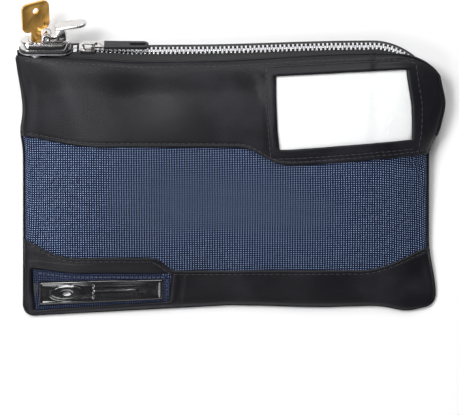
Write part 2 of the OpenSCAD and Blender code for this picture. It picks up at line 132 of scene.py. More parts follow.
class Nodes:
    """A node tree and the ways to add to it."""

    def __init__(self, tree: bpy.types.NodeTree):
        """Keeps the tree."""
        self.tree = tree

    def node(self, kind: str, settings: dict, inputs: dict, output: int | str = 0) -> Field:
        """Adds any node.

        Args:
            kind: the node's type name.
            settings: its properties, and under "stops" a ramp's positions and colours.
            inputs: socket name or number to a number, a colour or a Field.
            output: which output socket to give back.

        Returns:
            The chosen output.
        """
        made = self.tree.nodes.new(kind)
        for key, value in settings.items():
            if key == "stops":
                self.fill_ramp(made, value)
            else:
                setattr(made, key, value)
        for key, value in inputs.items():
            self.feed(made.inputs[key], value)
        return Field(self, made.outputs[output])

    def fill_ramp(self, ramp: bpy.types.Node, stops: Sequence[tuple[float, tuple]]) -> None:
        """Sets a colour ramp's stops.

        Args:
            ramp: the ramp's node.
            stops: each stop's position and colour.
        """
        elements = ramp.color_ramp.elements
        while len(elements) < len(stops):
            elements.new(0.5)
        for element, (position, colour) in zip(elements, stops):
            element.position = position
            element.color = (*colour, 1)

    def feed(self, socket: bpy.types.NodeSocket, value: object) -> None:
        """Links a Field to a socket, or sets the socket's own value.

        Args:
            socket: the input socket.
            value: a Field, a number, or a colour of three numbers.
        """
        if isinstance(value, Field):
            self.tree.links.new(value.socket, socket)
        elif isinstance(value, tuple) and len(value) == 3 and socket.type == "RGBA":
            socket.default_value = (*value, 1)
        else:
            socket.default_value = value

    def axes(self, vector: Field) -> tuple[Field, ...]:
        """Takes a vector apart.

        Args:
            vector: the vector.

        Returns:
            Its x, y and z.
        """
        made = self.tree.nodes.new("ShaderNodeSeparateXYZ")
        self.feed(made.inputs[0], vector)
        return tuple(Field(self, socket) for socket in made.outputs)


class Shade(Nodes):
    """One material and the nodes that make it."""

    def __init__(self, name: str):
        """Starts a node material with a Principled shader.

        Args:
            name: the material's name.
        """
        self.material = bpy.data.materials.new(name)
        self.material.use_nodes = True
        super().__init__(self.material.node_tree)
        self.shader = self.tree.nodes["Principled BSDF"]

    def surface(self, **sockets: object) -> bpy.types.Material:
        """Sets the shader's sockets.

        Args:
            sockets: values by the socket's name, with _ for a space.

        Returns:
            The material.
        """
        for name, value in sockets.items():
            self.feed(self.shader.inputs[name.replace("_", " ")], value)
        return self.material

    def place(self) -> Field:
        """Object coordinates, in metres."""
        return self.node("ShaderNodeTexCoord", {}, {}, "Object")

    def cloth_axes(self) -> tuple[Field, Field]:
        """The two directions of the cloth's own UV map, in metres."""
        return self.axes(self.node("ShaderNodeUVMap", {"uv_map": CLOTH_UV}, {}))[:2]

    def noise(self, size: float, detail: float = 2.0, stretch: tuple = (1, 1, 1)) -> Field:
        """Noise whose blobs are about size metres across, stretched along the axes."""
        where = self.node("ShaderNodeMapping", {}, {"Vector": self.place(), "Scale": stretch})
        return self.node("ShaderNodeTexNoise", {}, {"Vector": where, "Scale": 1 / size, "Detail": detail})

    def cells(self, size: float) -> Field:
        """Distance to the edge of pebble-like cells about size metres across."""
        settings = {"feature": "DISTANCE_TO_EDGE"}
        return self.node("ShaderNodeTexVoronoi", settings, {"Vector": self.place(), "Scale": 1 / size})

    def mix(self, share: Field | float, low: object, high: object) -> Field:
        """A colour between two colours.

        Args:
            share: 0 for the low colour, 1 for the high one.
            low: the first colour.
            high: the second.

        Returns:
            The mixed colour.
        """
        made = self.tree.nodes.new("ShaderNodeMix")
        made.data_type = "RGBA"
        for socket, value in zip([made.inputs[0], made.inputs[6], made.inputs[7]], [share, low, high]):
            self.feed(socket, value)
        return Field(self, made.outputs[2])

    def relief(self, height: Field, depth: float, strength: float = 1.0) -> Field:
        """A bumped normal, where height 1 stands depth metres proud."""
        return self.node("ShaderNodeBump", {}, {"Height": height, "Distance": depth, "Strength": strength})


@dataclass(frozen=True)
class Vinyl:
    """Black coated vinyl with a fine pebble grain and soft scuffs."""

    colour: tuple = (0.0060, 0.0058, 0.0084)
    worn: tuple = (0.0220, 0.0214, 0.0285)
    grain: float = 0.0011
    crease: float = 0.012
    scuff: float = 0.035
    pores: float = 0.0005
    depth: float = 0.00012

    def material(self, name: str) -> bpy.types.Material:
        """Builds the finish.

        Args:
            name: the material's name.

        Returns:
            The material.
        """
        shade = Shade(name)
        pebbles = shade.cells(self.grain).step(0.0, 0.32)
        creases = shade.noise(self.crease, 4, (1, 2.2, 1))
        scuffs = shade.noise(self.scuff, 5).step(0.48, 0.75)
        height = pebbles * 0.55 + creases * 0.9 + shade.noise(self.pores, 1) * 0.2
        return shade.surface(
            Base_Color=shade.mix(scuffs * 0.55 + pebbles * 0.12, self.colour, self.worn),
            Roughness=0.42 + scuffs * 0.12 - pebbles * 0.05,
            Normal=shade.relief(height, self.depth, 0.75),
            Specular_IOR_Level=0.22,
        )


@dataclass(frozen=True)
class WovenNylon:
    """Coarse navy nylon: dark warp with pale dots where the weft comes up."""

    dark: tuple = (0.0012, 0.0030, 0.014)
    mid: tuple = (0.0050, 0.0125, 0.052)
    pale: tuple = (0.44, 0.61, 0.92)
    across: float = 0.00158
    along: float = 0.00143
    drift: float = 0.0006
    depth: float = 0.00025

    def material(self, name: str) -> bpy.types.Material:
        """Builds the finish.

        Args:
            name: the material's name.

        Returns:
            The material.
        """
        shade = Shade(name)
        u, v = shade.cloth_axes()
        wobble = shade.noise(0.03, 2) * self.drift
        column = (u + wobble).wave(self.across)
        row = (v + wobble).wave(self.along)
        uneven = shade.noise(0.0016, 2)
        dots = (column ** 2.5 * row ** 2.2) * (0.45 + uneven * 1.1)
        threads = u.wave(self.across / 4) * 0.5 + v.wave(self.along / 4) * 0.5
        fade = shade.noise(0.05, 3).step(0.3, 0.7)
        ground = shade.mix(column * 0.45 + threads * 0.3 + fade * 0.25, self.dark, self.mid)
        return shade.surface(
            Base_Color=shade.mix(dots.step(0.22, 0.72), ground, self.pale),
            Roughness=0.7 + threads * 0.15,
            Normal=shade.relief(dots * 0.9 + column * 0.4 + threads * 0.35, self.depth, 0.8),
            Sheen_Weight=0.04,
            Sheen_Roughness=0.4,
            Specular_IOR_Level=0.2,
        )


@dataclass(frozen=True)
class ZipTape:
    """Black herringbone zip tape."""

    colour: tuple = (0.008, 0.008, 0.009)
    raised: tuple = (0.028, 0.028, 0.030)
    rib_pitch: float = 0.0007
    slant_pitch: float = 0.0024
    row_pitch: float = 0.0006
    depth: float = 0.00012

    def material(self, name: str) -> bpy.types.Material:
        """Builds the finish.

        Args:
            name: the material's name.

        Returns:
            The material.
        """
        shade = Shade(name)
        u, v = shade.cloth_axes()
        slant = (v.wave(self.slant_pitch) * 2 - 1).math("ABSOLUTE") * (self.slant_pitch / 2)
        rib = (u + slant).wave(self.rib_pitch)
        return shade.surface(
            Base_Color=shade.mix(rib, self.colour, self.raised),
            Roughness=0.75 + rib * 0.1,
            Normal=shade.relief(rib + v.wave(self.row_pitch) * 0.4, self.depth, 0.7),
            Sheen_Weight=0.1,
        )


@dataclass(frozen=True)
class Metal:
    """Metal with handling marks: a plated, brushed or cast one by its numbers."""

    colour: tuple
    tarnish: tuple
    roughness: float
    marks: float
    brush: tuple = (1, 1, 1)
    smear: float = 0.004
    grain: float = 0.0006
    scratch: float = 0.0009
    depth: float = 0.00001

    def material(self, name: str) -> bpy.types.Material:
        """Builds the finish.

        Args:
            name: the material's name.

        Returns:
            The material.
        """
        shade = Shade(name)
        smears = shade.noise(self.smear, 4).step(0.42, 0.72)
        grain = shade.noise(self.grain, 3, self.brush)
        scratches = shade.noise(self.scratch, 2, (0.15, 3, 1)).step(0.62, 0.72)
        return shade.surface(
            Base_Color=shade.mix(smears * 0.5 + grain * 0.25, self.colour, self.tarnish),
            Metallic=1.0,
            Roughness=self.roughness + smears * self.marks + scratches * (self.marks * 0.6),
            Normal=shade.relief(grain * 0.6 + scratches * 0.3, self.depth, 0.35),
        )


@dataclass(frozen=True)
class Moulded:
    """Moulded rubber or plastic with a fine matt texture."""

    colour: tuple
    roughness: float
    coat: float = 0.0
    texture: float = 0.00004
    grain: float = 0.0006
    dust: float = 0.006

    def material(self, name: str) -> bpy.types.Material:
        """Builds the finish.

        Args:
            name: the material's name.

        Returns:
            The material.
        """
        shade = Shade(name)
        fine = shade.noise(self.grain, 3)
        dust = shade.noise(self.dust, 4).step(0.55, 0.8)
        light = tuple(min(1.0, c * 2.2 + 0.012) for c in self.colour)
        return shade.surface(
            Base_Color=shade.mix(dust * 0.45 + fine * 0.15, self.colour, light),
            Roughness=self.roughness + dust * 0.12 + fine * 0.06,
            Coat_Weight=self.coat,
            Coat_Roughness=0.08,
            Normal=shade.relief(fine, self.texture, 0.6),
        )


@dataclass(frozen=True)
class Card:
    """Smooth white card with faint fibres."""

    colour: tuple = (0.93, 0.93, 0.925)
    fibre: float = 0.0012
    depth: float = 0.00002

    def material(self, name: str) -> bpy.types.Material:
        """Builds the finish.

        Args:
            name: the material's name.

        Returns:
            The material.
        """
        shade = Shade(name)
        fibre = shade.noise(self.fibre, 4, (1, 3, 1))
        shadow = tuple(c * 0.95 for c in self.colour)
        return shade.surface(
            Base_Color=shade.mix(fibre * 0.5, self.colour, shadow),
            Roughness=0.55 + fibre * 0.1,
            Normal=shade.relief(fibre, self.depth, 0.4),
        )


@dataclass(frozen=True)
class ClearFilm:
    """Thin clear film, glossy, with faint ripples."""

    colour: tuple = (0.96, 0.98, 1.0)
    ripple: float = 0.014
    haze: float = 0.02
    depth: float = 0.0003

    def material(self, name: str) -> bpy.types.Material:
        """Builds the finish.

        Args:
            name: the material's name.

        Returns:
            The material.
        """
        shade = Shade(name)
        ripple = shade.noise(self.ripple, 2)
        haze = shade.noise(self.haze, 4).step(0.5, 0.85)
        return shade.surface(
            Base_Color=self.colour,
            Alpha=0.10 + haze * 0.05,
            Roughness=0.06 + haze * 0.08,
            Normal=shade.relief(ripple, self.depth, 0.5),
            Specular_IOR_Level=0.6,
        )


@dataclass(frozen=True)
class Thread:
    """Twisted sewing thread."""

    colour: tuple
    twist: float = 0.0004
    depth: float = 0.0001

    def material(self, name: str) -> bpy.types.Material:
        """Builds the finish.

        Args:
            name: the material's name.

        Returns:
            The material.
        """
        shade = Shade(name)
        twist = shade.noise(self.twist, 2, (1, 2, 1))
        light = tuple(min(1.0, c * 1.9) for c in self.colour)
        return shade.surface(
            Base_Color=shade.mix(twist, self.colour, light),
            Roughness=0.5 + twist * 0.15,
            Normal=shade.relief(twist, self.depth, 0.7),
        )


class Finish(Enum):
    """Every finish on the bag."""

    VINYL = "vinyl"
    NYLON = "nylon"
    LINING = "lining"
    TAPE = "zip_tape"
    TEETH = "teeth"
    CHROME = "chrome"
    STEEL = "steel"
    BRASS = "brass"
    RUBBER = "rubber"
    FILM = "film"
    CARD = "card"
    BADGE = "badge"
    GROUND = "fine_nylon"
    THREAD = "thread"
    PALE_THREAD = "pale_thread"


RECIPES = {
    Finish.VINYL: Vinyl(),
    Finish.NYLON: WovenNylon(),
    Finish.LINING: Moulded((0.012, 0.013, 0.018), 0.6, texture=0.00008),
    Finish.TAPE: ZipTape(),
    Finish.TEETH: Metal((0.86, 0.86, 0.88), (0.52, 0.52, 0.54), 0.20, 0.18),
    Finish.CHROME: Metal((0.68, 0.66, 0.65), (0.50, 0.49, 0.49), 0.10, 0.10),
    Finish.STEEL: Metal((0.42, 0.42, 0.43), (0.22, 0.22, 0.23), 0.32, 0.2, (0.2, 2, 1)),
    Finish.BRASS: Metal((0.78, 0.45, 0.12), (0.66, 0.36, 0.09), 0.28, 0.10, (1, 1, 0.3)),
    Finish.RUBBER: Moulded((0.012, 0.012, 0.014), 0.42),
    Finish.FILM: ClearFilm(),
    Finish.CARD: Card(),
    Finish.BADGE: Moulded((0.004, 0.004, 0.005), 0.16, coat=0.9, texture=0.00002),
    Finish.GROUND: WovenNylon(pale=(0.17, 0.21, 0.31), across=0.00115, along=0.00110),
    Finish.THREAD: Thread((0.030, 0.030, 0.038)),
    Finish.PALE_THREAD: Thread((0.10, 0.11, 0.15)),
}


@dataclass
class Wardrobe:
    """Builds each finish once and dresses pieces in it."""

    made: dict = field(default_factory=dict)

    def dress(self, piece: bpy.types.Object, finish: Finish) -> None:
        """Gives a piece its material.

        Args:
            piece: the object.
            finish: what it is made of.
        """
        if finish not in self.made:
            self.made[finish] = RECIPES[finish].material(finish.value)
        piece.data.materials.clear()
        piece.data.materials.append(self.made[finish])


WARDROBE = Wardrobe()


# ---------------------------------------------------------------- mesh tools


def placed(name: str, data: bpy.types.ID) -> bpy.types.Object:
    """Adds an object to the scene, at the origin and unturned.

    Args:
        name: the object's name.
        data: its mesh, camera or light.

    Returns:
        The new object.
    """
    made = bpy.data.objects.new(name, data)
    bpy.context.scene.collection.objects.link(made)
    return made


def as_mesh(name: str, bm: bmesh.types.BMesh) -> bpy.types.Mesh:
    """Turns a bmesh into a mesh and frees it.

    Args:
        name: the mesh's name.
        bm: the bmesh.

    Returns:
        The mesh.
    """
    mesh = bpy.data.meshes.new(name)
    bm.to_mesh(mesh)
    bm.free()
    return mesh


def grid(columns: int, rows: int) -> tuple[bmesh.types.BMesh, dict]:
    """A flat grid to be bent into shape.

    Args:
        columns: how many lines of points there are along x.
        rows: how many there are along y.

    Returns:
        The grid, and each vertex's column and row.
    """
    bm = bmesh.new()
    bm.loops.layers.uv.new(CLOTH_UV)
    bmesh.ops.create_grid(bm, x_segments=columns - 1, y_segments=rows - 1, size=0.5)
    spots = {
        v: (round((v.co.x + 0.5) * (columns - 1)), round((v.co.y + 0.5) * (rows - 1))) for v in bm.verts
    }
    return bm, spots


def map_cloth(bm: bmesh.types.BMesh, flat: dict) -> None:
    """Fills the cloth's UV map.

    Args:
        bm: the mesh, with its UV layer made.
        flat: each vertex's place on the cloth, in metres.
    """
    uv = bm.loops.layers.uv[CLOTH_UV]
    for face in bm.faces:
        for loop in face.loops:
            loop[uv].uv = flat[loop.vert]


def thicken(piece: bpy.types.Object, thickness: float, offset: float) -> None:
    """Gives a cloth its thickness.

    Args:
        piece: the cloth.
        thickness: how thick it gets.
        offset: -1 to thicken it inwards from its face, 0 for both ways.
    """
    solid = piece.modifiers.new("thickness", "SOLIDIFY")
    solid.thickness = thickness
    solid.offset = offset


def finished(
    name: str, bm: bmesh.types.BMesh, finish: Finish, slot: str, body: str = "bag",
    replaces: Sequence[str] = (),
) -> bpy.types.Object:
    """Turns a bmesh into a dressed piece that rides on a body.

    Args:
        name: the piece's name.
        bm: its mesh, which is freed.
        finish: what it is made of.
        slot: not used.
        body: the CAD body it moves with.
        replaces: the CAD nodes it stands for.

    Returns:
        The new object.
    """
    mesh = as_mesh(name, bm)
    mesh.shade_smooth()
    piece = placed(name, mesh)
    WARDROBE.dress(piece, finish)
    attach(piece, body)
    if replaces:
        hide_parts(*replaces)
    log.info("%s: %d faces on %s", name, len(mesh.polygons), body)
    return piece


WELD = 1e-6
FLAT_WITHIN = math.radians(1)
SHARP_FROM = math.radians(32)
SMOOTH_BELOW = math.radians(35)


def softened(node: str, finish: Finish, slot: str, body: str, width: float) -> bpy.types.Object:
    """Copies a CAD node, merges its triangles and rounds its sharp edges.

    Args:
        node: the CAD node, which the copy then stands for.
        finish: what it is made of.
        slot: not used.
        body: the CAD body it moves with.
        width: the width of the rounding, in metres.

    Returns:
        The new object.
    """
    bm = bmesh.new()
    bm.from_mesh(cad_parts[node].data)
    bmesh.ops.remove_doubles(bm, verts=bm.verts, dist=WELD)
    bmesh.ops.dissolve_limit(
        bm, angle_limit=FLAT_WITHIN, use_dissolve_boundaries=False, verts=bm.verts, edges=bm.edges
    )
    sharp = [e for e in bm.edges if len(e.link_faces) == 2 and e.calc_face_angle(0) > SHARP_FROM]
    bmesh.ops.bevel(
        bm, geom=sharp, offset=width, affect="EDGES", segments=3, profile=0.5, material=-1,
        clamp_overlap=True,
    )
    bmesh.ops.triangulate(bm, faces=[f for f in bm.faces if len(f.verts) > 4])
    piece = finished(f"{node}_finished", bm, finish, slot, body, [node])
    piece.data.set_sharp_from_angle(angle=SMOOTH_BELOW)
    return piece


def rod(bm: bmesh.types.BMesh, a: Vector, b: Vector, radius: float, sides: int = 6) -> None:
    """Adds a round-ended rod between two points, as one stitch is.

    Args:
        bm: the mesh to add to.
        a: one end.
        b: the other end.
        radius: the rod's radius.
        sides: how many faces go round it.
    """
    along = b - a
    turn = along.to_track_quat("Z", "Y").to_matrix().to_4x4()
    size = Matrix.Diagonal((radius, radius, along.length / 2 + radius, 1))
    place = Matrix.Translation((a + b) / 2) @ turn @ size
    bmesh.ops.create_uvsphere(bm, u_segments=sides, v_segments=4, radius=1, matrix=place)


def stitched(
    name: str, lines: Sequence[np.ndarray], finish: Finish, radius: float = 0.00026,
    stitch: float = 0.0027, space: float = 0.0011,
) -> bpy.types.Object:
    """Sews rows of stitches along lines of points.

    Args:
        name: the piece's name.
        lines: arrays of points on the cloth, each one row of sewing.
        finish: the thread.
        radius: the thread's radius.
        stitch: one stitch's length.
        space: the gap to the next.

    Returns:
        The stitches as one object.
    """
    bm = bmesh.new()
    for line in lines:
        far = distances(line)
        for start in np.arange(space, far[-1] - stitch, stitch + space):
            a, b = (
                Vector([np.interp(d, far, line[:, k]) for k in range(3)]) for d in (start, start + stitch)
            )
            rod(bm, a, b, radius)
    return finished(name, bm, finish, "tape_black")


def swept(points: np.ndarray, section: Sequence[tuple[float, float]]) -> bmesh.types.BMesh:
    """Sweeps a closed section along a line.

    Args:
        points: the line.
        section: the section's corners, across and up.

    Returns:
        A bmesh with both ends closed and a cloth UV map.
    """
    bm = bmesh.new()
    bm.loops.layers.uv.new(CLOTH_UV)
    bmesh.ops.create_circle(bm, segments=len(section), radius=1)
    ring = list(bm.verts)
    edges = list(bm.edges)
    rings = [ring]
    for _ in points[1:]:
        made = bmesh.ops.extrude_edge_only(bm, edges=edges)["geom"]
        edges = [g for g in made if isinstance(g, bmesh.types.BMEdge) and len(g.link_faces) == 1]
        rings.append([g for g in made if isinstance(g, bmesh.types.BMVert)])
    order = {v: k for k, v in enumerate(ring)}
    for previous, verts in zip(rings, rings[1:]):
        known = set(previous)
        for v in verts:
            twin = next(e.other_vert(v) for e in v.link_edges if e.other_vert(v) in known)
            order[v] = order[twin]
    for point, way, verts in zip(points, np.gradient(points, axis=0), rings):
        way = Vector(way).normalized()
        side = way.cross(Vector(UP)).normalized()
        top = side.cross(way)
        for v in verts:
            across, above = section[order[v]]
            v.co = Vector(point) + side * across + top * above
    bmesh.ops.holes_fill(bm, edges=[e for e in bm.edges if len(e.link_faces) == 1], sides=0)
    bmesh.ops.recalc_face_normals(bm, faces=bm.faces)
    far = distances(points)
    map_cloth(bm, {v: (far[k], order[v] * MM) for k, verts in enumerate(rings) for v in verts})
    return bm


def round_section(radius: float, sides: int = 10, squash: float = 1.0) -> list[tuple[float, float]]:
    """Corners of a round or oval section."""
    angles = [math.tau * k / sides for k in range(sides)]
    return [(radius * math.cos(a), radius * squash * math.sin(a)) for a in angles]


# ---------------------------------------------------------------- the bag's shape


CLOTH_SETTINGS = {
    "quality": 6,
    "mass": 0.35,
    "tension_stiffness": 12,
    "compression_stiffness": 12,
    "shear_stiffness": 6,
    "bending_stiffness": 1.6,
    "pin_stiffness": 1.0,
    "shrink_min": -0.035,
    "use_pressure": True,
    "uniform_pressure_force": 1.1,
}


@dataclass(frozen=True)
class Dent:
    """A soft dent or ridge of the front: a hill of height `rise`, or a hollow where it is negative."""

    rise: float
    x: float
    y: float
    wide: float
    high: float
    lean: float = 0.0
    lean_from: float = 0.05

    def at(self, x: np.ndarray, y: np.ndarray) -> np.ndarray:
        """Its height at points in plan, which lean by `lean` for each unit of y."""
        across = x - self.x + (y - self.lean_from) * self.lean
        return self.rise * bump(across, 0, self.wide) * bump(y, self.y, self.high)


DENTS = (
    Dent(0.0016, -0.10, 0.055, 0.010, 0.03, 0.35),
    Dent(-0.0040, -0.060, 0.064, 0.019, 0.022, 0.25, 0.06),
    Dent(0.0005, -0.030, 0.05, 0.014, 0.025, 0.5),
)


@dataclass
class BagForm:
    """The stuffed bag as a surface: outlines in plan, heights, and the settled cloth."""

    half: float = 0.131
    crown: float = 0.0175
    rim: float = 0.0026
    zip_y: float = 0.0847
    zip_z: float = 0.012
    zip_x0: float = -0.100
    corner_x: float = 0.090
    corner_r: float = 0.040
    slope: float = math.radians(0.5)
    roll: float = math.radians(45)
    tail: float = 0.009
    sag: float = 0.0016
    columns: int = 150
    rows: int = 96
    window_hold: float = 0.35
    hem_hold: float = 0.7
    gravity_share: float = 0.35
    most_shift: float = 0.0035
    settle_frames: int = 26
    cache_frames: int = 30
    points: np.ndarray = field(default=None, repr=False)
    normals: np.ndarray = field(default=None, repr=False)
    lengths: np.ndarray = field(default=None, repr=False)
    grid_x: np.ndarray = field(default=None, repr=False)

    # outlines in plan, where x is the cloth's nominal place between the side seams

    def chain_y(self, x: np.ndarray) -> np.ndarray:
        """Height in plan of the zip's chain, which sags beyond the slider."""
        dip = ease(-0.088, -0.055, x) * (1 - ease(-0.02, 0.075, x))
        return self.zip_y + x * math.tan(self.slope) - self.sag * dip

    def bottom(self, x: np.ndarray) -> np.ndarray:
        """The bottom seam, with rounded corners.

        Args:
            x: nominal x.

        Returns:
            The seam's y.
        """
        line = -0.0768 - 0.052 * np.maximum(0, -x) - 0.0012 * bump(x, 0.055, 0.03)
        line -= 0.0032 * bump(x, 0.112, 0.012)
        corner_wide, corner_high = 0.007, 0.0065
        past = np.clip((np.abs(x) - (self.half - corner_wide)) / corner_wide, 0, 1)
        return line + corner_high * (1 - np.sqrt(1 - past ** 2))

    def fold(self, x: np.ndarray) -> np.ndarray:
        """The upper panel's fold below the zip, which rounds the corner at the right.

        Args:
            x: nominal x.

        Returns:
            The fold's y.
        """
        below, rise = 0.0070, 0.0024
        straight = self.chain_y(x) - below + rise * ease(-0.02, 0.086, x)
        straight += 0.0036 * ease(0.066, 0.135, -x)
        start, centre_y, across = 0.098, 0.050, 0.037
        fullness = 2.45  # 2 would be an ellipse's quarter, and more is squarer
        past = np.clip((x - start) / across, 0, 1)
        high = self.chain_y(start) - (below - rise) - centre_y
        rounded = centre_y + high * (1 - past ** fullness) ** (1 / fullness)
        return np.where(x > start, rounded, straight)

    def back_fold(self, x: np.ndarray) -> np.ndarray:
        """The back panel's fold behind the zip, lower at the left corner."""
        return self.back_rise(x) - 0.004 * ease(0.116, 0.131, -x)

    def back_rise(self, x: np.ndarray) -> np.ndarray:
        """The line that the back's lip rises to.

        Args:
            x: nominal x.

        Returns:
            The line's y.
        """
        above, centre_y, across = 0.0036, 0.0455, 0.0425
        past = np.clip((x - self.corner_x) / across, 0, 1)
        high = self.chain_y(self.corner_x) + above - centre_y
        rounded = centre_y + high * np.sqrt(1 - past ** 2)
        return np.where(x > self.corner_x, rounded, self.chain_y(x) + above)

    def upper_seam(self, x: np.ndarray) -> np.ndarray:
        """Where the upper vinyl laps over the nylon."""
        return (
            0.0215 + 0.0125 * ease(0.080, 0.165, -x) - 0.0105 * ease(0.006, 0.034, x)
            + 0.085 * np.maximum(0, x - 0.044)
        )

    def lower_seam(self, x: np.ndarray) -> np.ndarray:
        """Where the lower vinyl laps over the nylon."""
        return (
            -0.0475 - 0.008 * ease(-0.051, -0.035, x) + 0.016 * ease(0.098, 0.145, -x)
            + 0.018 * ease(0.082, 0.145, x)
        )

    def side(self, x: np.ndarray, y: np.ndarray) -> np.ndarray:
        """Real x of a nominal x: the side seams bulge by the window and pinch below it.

        Args:
            x: nominal x.
            y: real y.

        Returns:
            Real x.
        """
        right = (
            -0.0056 + 0.0056 * ease(0.018, 0.036, y) + 0.0039 * bump(y, 0.050, 0.013)
            + 0.0042 * ease(0.035, 0.070, -y)
        )
        left = 0.0005 - 0.0042 * ease(0.045, 0.084, y) - 0.0016 * bump(y, 0.033, 0.008)
        near = (np.abs(x) / self.half) ** 9
        return x + np.where(x > 0, right, left) * near

    def share(self, x: np.ndarray, y: np.ndarray) -> np.ndarray:
        """How far y is from the bottom seam, 0, to the fold, 1."""
        low = self.bottom(x)
        return (y - low) / (self.fold(x) - low)

    def height(self, x: np.ndarray, t: np.ndarray) -> np.ndarray:
        """Height of the front before the cloth is settled.

        Args:
            x: nominal x.
            t: share of the way from the bottom seam to the fold.

        Returns:
            The height of each point.
        """
        edge = (np.abs(x) / self.half) ** 6
        v = self.fold(x) - self.chain_y(np.minimum(x, self.corner_x))
        rise = self.zip_z - np.where(x > self.corner_x, -0.0035, v) - self.rim
        rise = rise - 0.0015 * ease(0.1, 0.131, x)
        lift = t * (1 - edge) + t ** np.where(x > 0, 2.0, 3.2) * edge
        crown = np.maximum(0, 4 * t * (1 - t)) ** 0.66
        width = (1 - (np.abs(x) / (self.half + 0.0004)) ** 4.5) ** 0.66
        return self.rim + rise * lift + self.crown * crown * width

    # the settled surface

    def settle(self) -> None:
        """Shapes the front by cloth simulation and keeps it as a table to lay pieces on."""
        closer = math.pi / 2 * 0.86  # below pi / 2, so that the columns close up towards the sides
        s = np.sin(np.linspace(-1, 1, self.columns + 1) * closer) / math.sin(closer)
        x = s[:, None] * self.half + np.zeros((1, self.rows + 1))
        t = np.linspace(0, 1, self.rows + 1)[None, :] + np.zeros_like(x)
        low = self.bottom(x)
        y = low + (self.fold(x) - low) * t
        start = np.stack([self.side(x, y), y, self.height(x, t)], axis=-1)
        self.grid_x = x[:, 0]
        moved = self.simulate(start)
        self.points = moved + self.creases(x, y, t)[..., None] * UP
        across = np.gradient(self.points, axis=0)
        along = np.gradient(self.points, axis=1)
        normal = np.cross(across, along)
        self.normals = normal / np.linalg.norm(normal, axis=-1, keepdims=True)
        run = np.linalg.norm(np.diff(self.points, axis=0), axis=-1)
        rise = np.linalg.norm(np.diff(self.points, axis=1), axis=-1)
        u = np.concatenate([np.zeros((1, self.rows + 1)), np.cumsum(run, axis=0)])
        v = np.concatenate([np.zeros((self.columns + 1, 1)), np.cumsum(rise, axis=1)], axis=1)
        middle = self.columns // 2
        u = u - u[middle : middle + 1]
        anchor = self.rows // 2
        v = v - v[:, anchor : anchor + 1]
        self.lengths = np.stack([u, v], axis=-1)

    def simulate(self, start: np.ndarray) -> np.ndarray:
        """Runs the cloth from its starting shape, held at every seam.

        Args:
            start: the starting points, by column and row.

        Returns:
            The settled points, which may move by a few millimetres.
        """
        bm, spots = grid(self.columns + 1, self.rows + 1)
        for v, spot in spots.items():
            v.co = start[spot]
        places = {v.index: spot for v, spot in spots.items()}
        mesh = as_mesh("settling_cloth", bm)
        cloth = placed("settling_cloth", mesh)
        held = cloth.vertex_groups.new(name="held")
        for index, (i, j) in places.items():
            edge = min(i, self.columns - i, j, self.rows - j)
            by_window = ease(-0.01, 0.045, start[i, j, 0]) * ease(-0.01, 0.03, start[i, j, 1])
            inside = self.window_hold * float(by_window)
            held.add([index], {0: 1.0, 1: self.hem_hold}.get(edge, inside), "REPLACE")
        modifier = cloth.modifiers.new("cloth", "CLOTH")
        for name, value in CLOTH_SETTINGS.items():
            setattr(modifier.settings, name, value)
        modifier.settings.vertex_group_mass = held.name
        modifier.settings.effector_weights.gravity = self.gravity_share
        modifier.collision_settings.use_collision = False
        scene = bpy.context.scene
        scene.frame_start, scene.frame_end = 1, self.cache_frames
        for step in range(1, self.settle_frames + 1):
            scene.frame_set(step)
        shaped = cloth.evaluated_get(bpy.context.evaluated_depsgraph_get())
        moved = start.copy()
        for index, spot in places.items():
            moved[spot] = shaped.data.vertices[index].co
        scene.frame_set(1)
        bpy.data.objects.remove(cloth)
        bpy.data.meshes.remove(mesh)
        shift = moved - start
        far = np.linalg.norm(shift, axis=-1, keepdims=True)
        i, j = np.arange(self.columns + 1)[:, None], np.arange(self.rows + 1)[None, :]
        edge = np.minimum(np.minimum(i, self.columns - i), np.minimum(j, self.rows - j))
        least = 1e-9  # keeps the division below off zero
        shift *= np.minimum(1, self.most_shift / np.maximum(far, least)) * ease(1, 14, edge)[..., None]
        log.info("cloth settled: moved %.1f mm at most", np.linalg.norm(shift, axis=-1).max() / MM)
        return start + shift

    def creases(self, x: np.ndarray, y: np.ndarray, t: np.ndarray) -> np.ndarray:
        """Soft dents and ridges that a packed bag gets from handling.

        Args:
            x: nominal x.
            y: real y.
            t: share of the way from the bottom seam to the fold.

        Returns:
            The change in height at each point.
        """
        inside = np.minimum(1, 8 * t * (1 - t)) * (1 - (np.abs(x) / self.half) ** 8)
        dents = sum(dent.at(x, y) for dent in DENTS)
        pull = -0.0005 * bump(y - (0.05 + (x + 0.06) * 0.22), 0, 0.010) * bump(x, -0.03, 0.03)
        belly = 0.0010 * np.sin(x / 0.021) * bump(y, -0.012, 0.03)
        foot = 0.0006 * np.sin(x / 0.008 + 1.2) * bump(t, 0.1, 0.08)
        return (dents + pull + belly + foot) * inside

    def look_up(self, table: np.ndarray, x: np.ndarray, t: np.ndarray) -> np.ndarray:
        """Reads a table between its columns and rows.

        Args:
            table: values by column and row.
            x: nominal x.
            t: share of the way from the bottom seam to the fold.

        Returns:
            The table's value at each point.
        """
        i = np.interp(x, self.grid_x, np.arange(self.columns + 1))
        j = np.clip(t, 0, 1) * self.rows
        i0 = np.clip(np.floor(i).astype(int), 0, self.columns - 1)
        j0 = np.clip(np.floor(j).astype(int), 0, self.rows - 1)
        a, b = (i - i0)[..., None], (j - j0)[..., None]
        return (
            table[i0, j0] * (1 - a) * (1 - b) + table[i0 + 1, j0] * a * (1 - b)
            + table[i0, j0 + 1] * (1 - a) * b + table[i0 + 1, j0 + 1] * a * b
        )

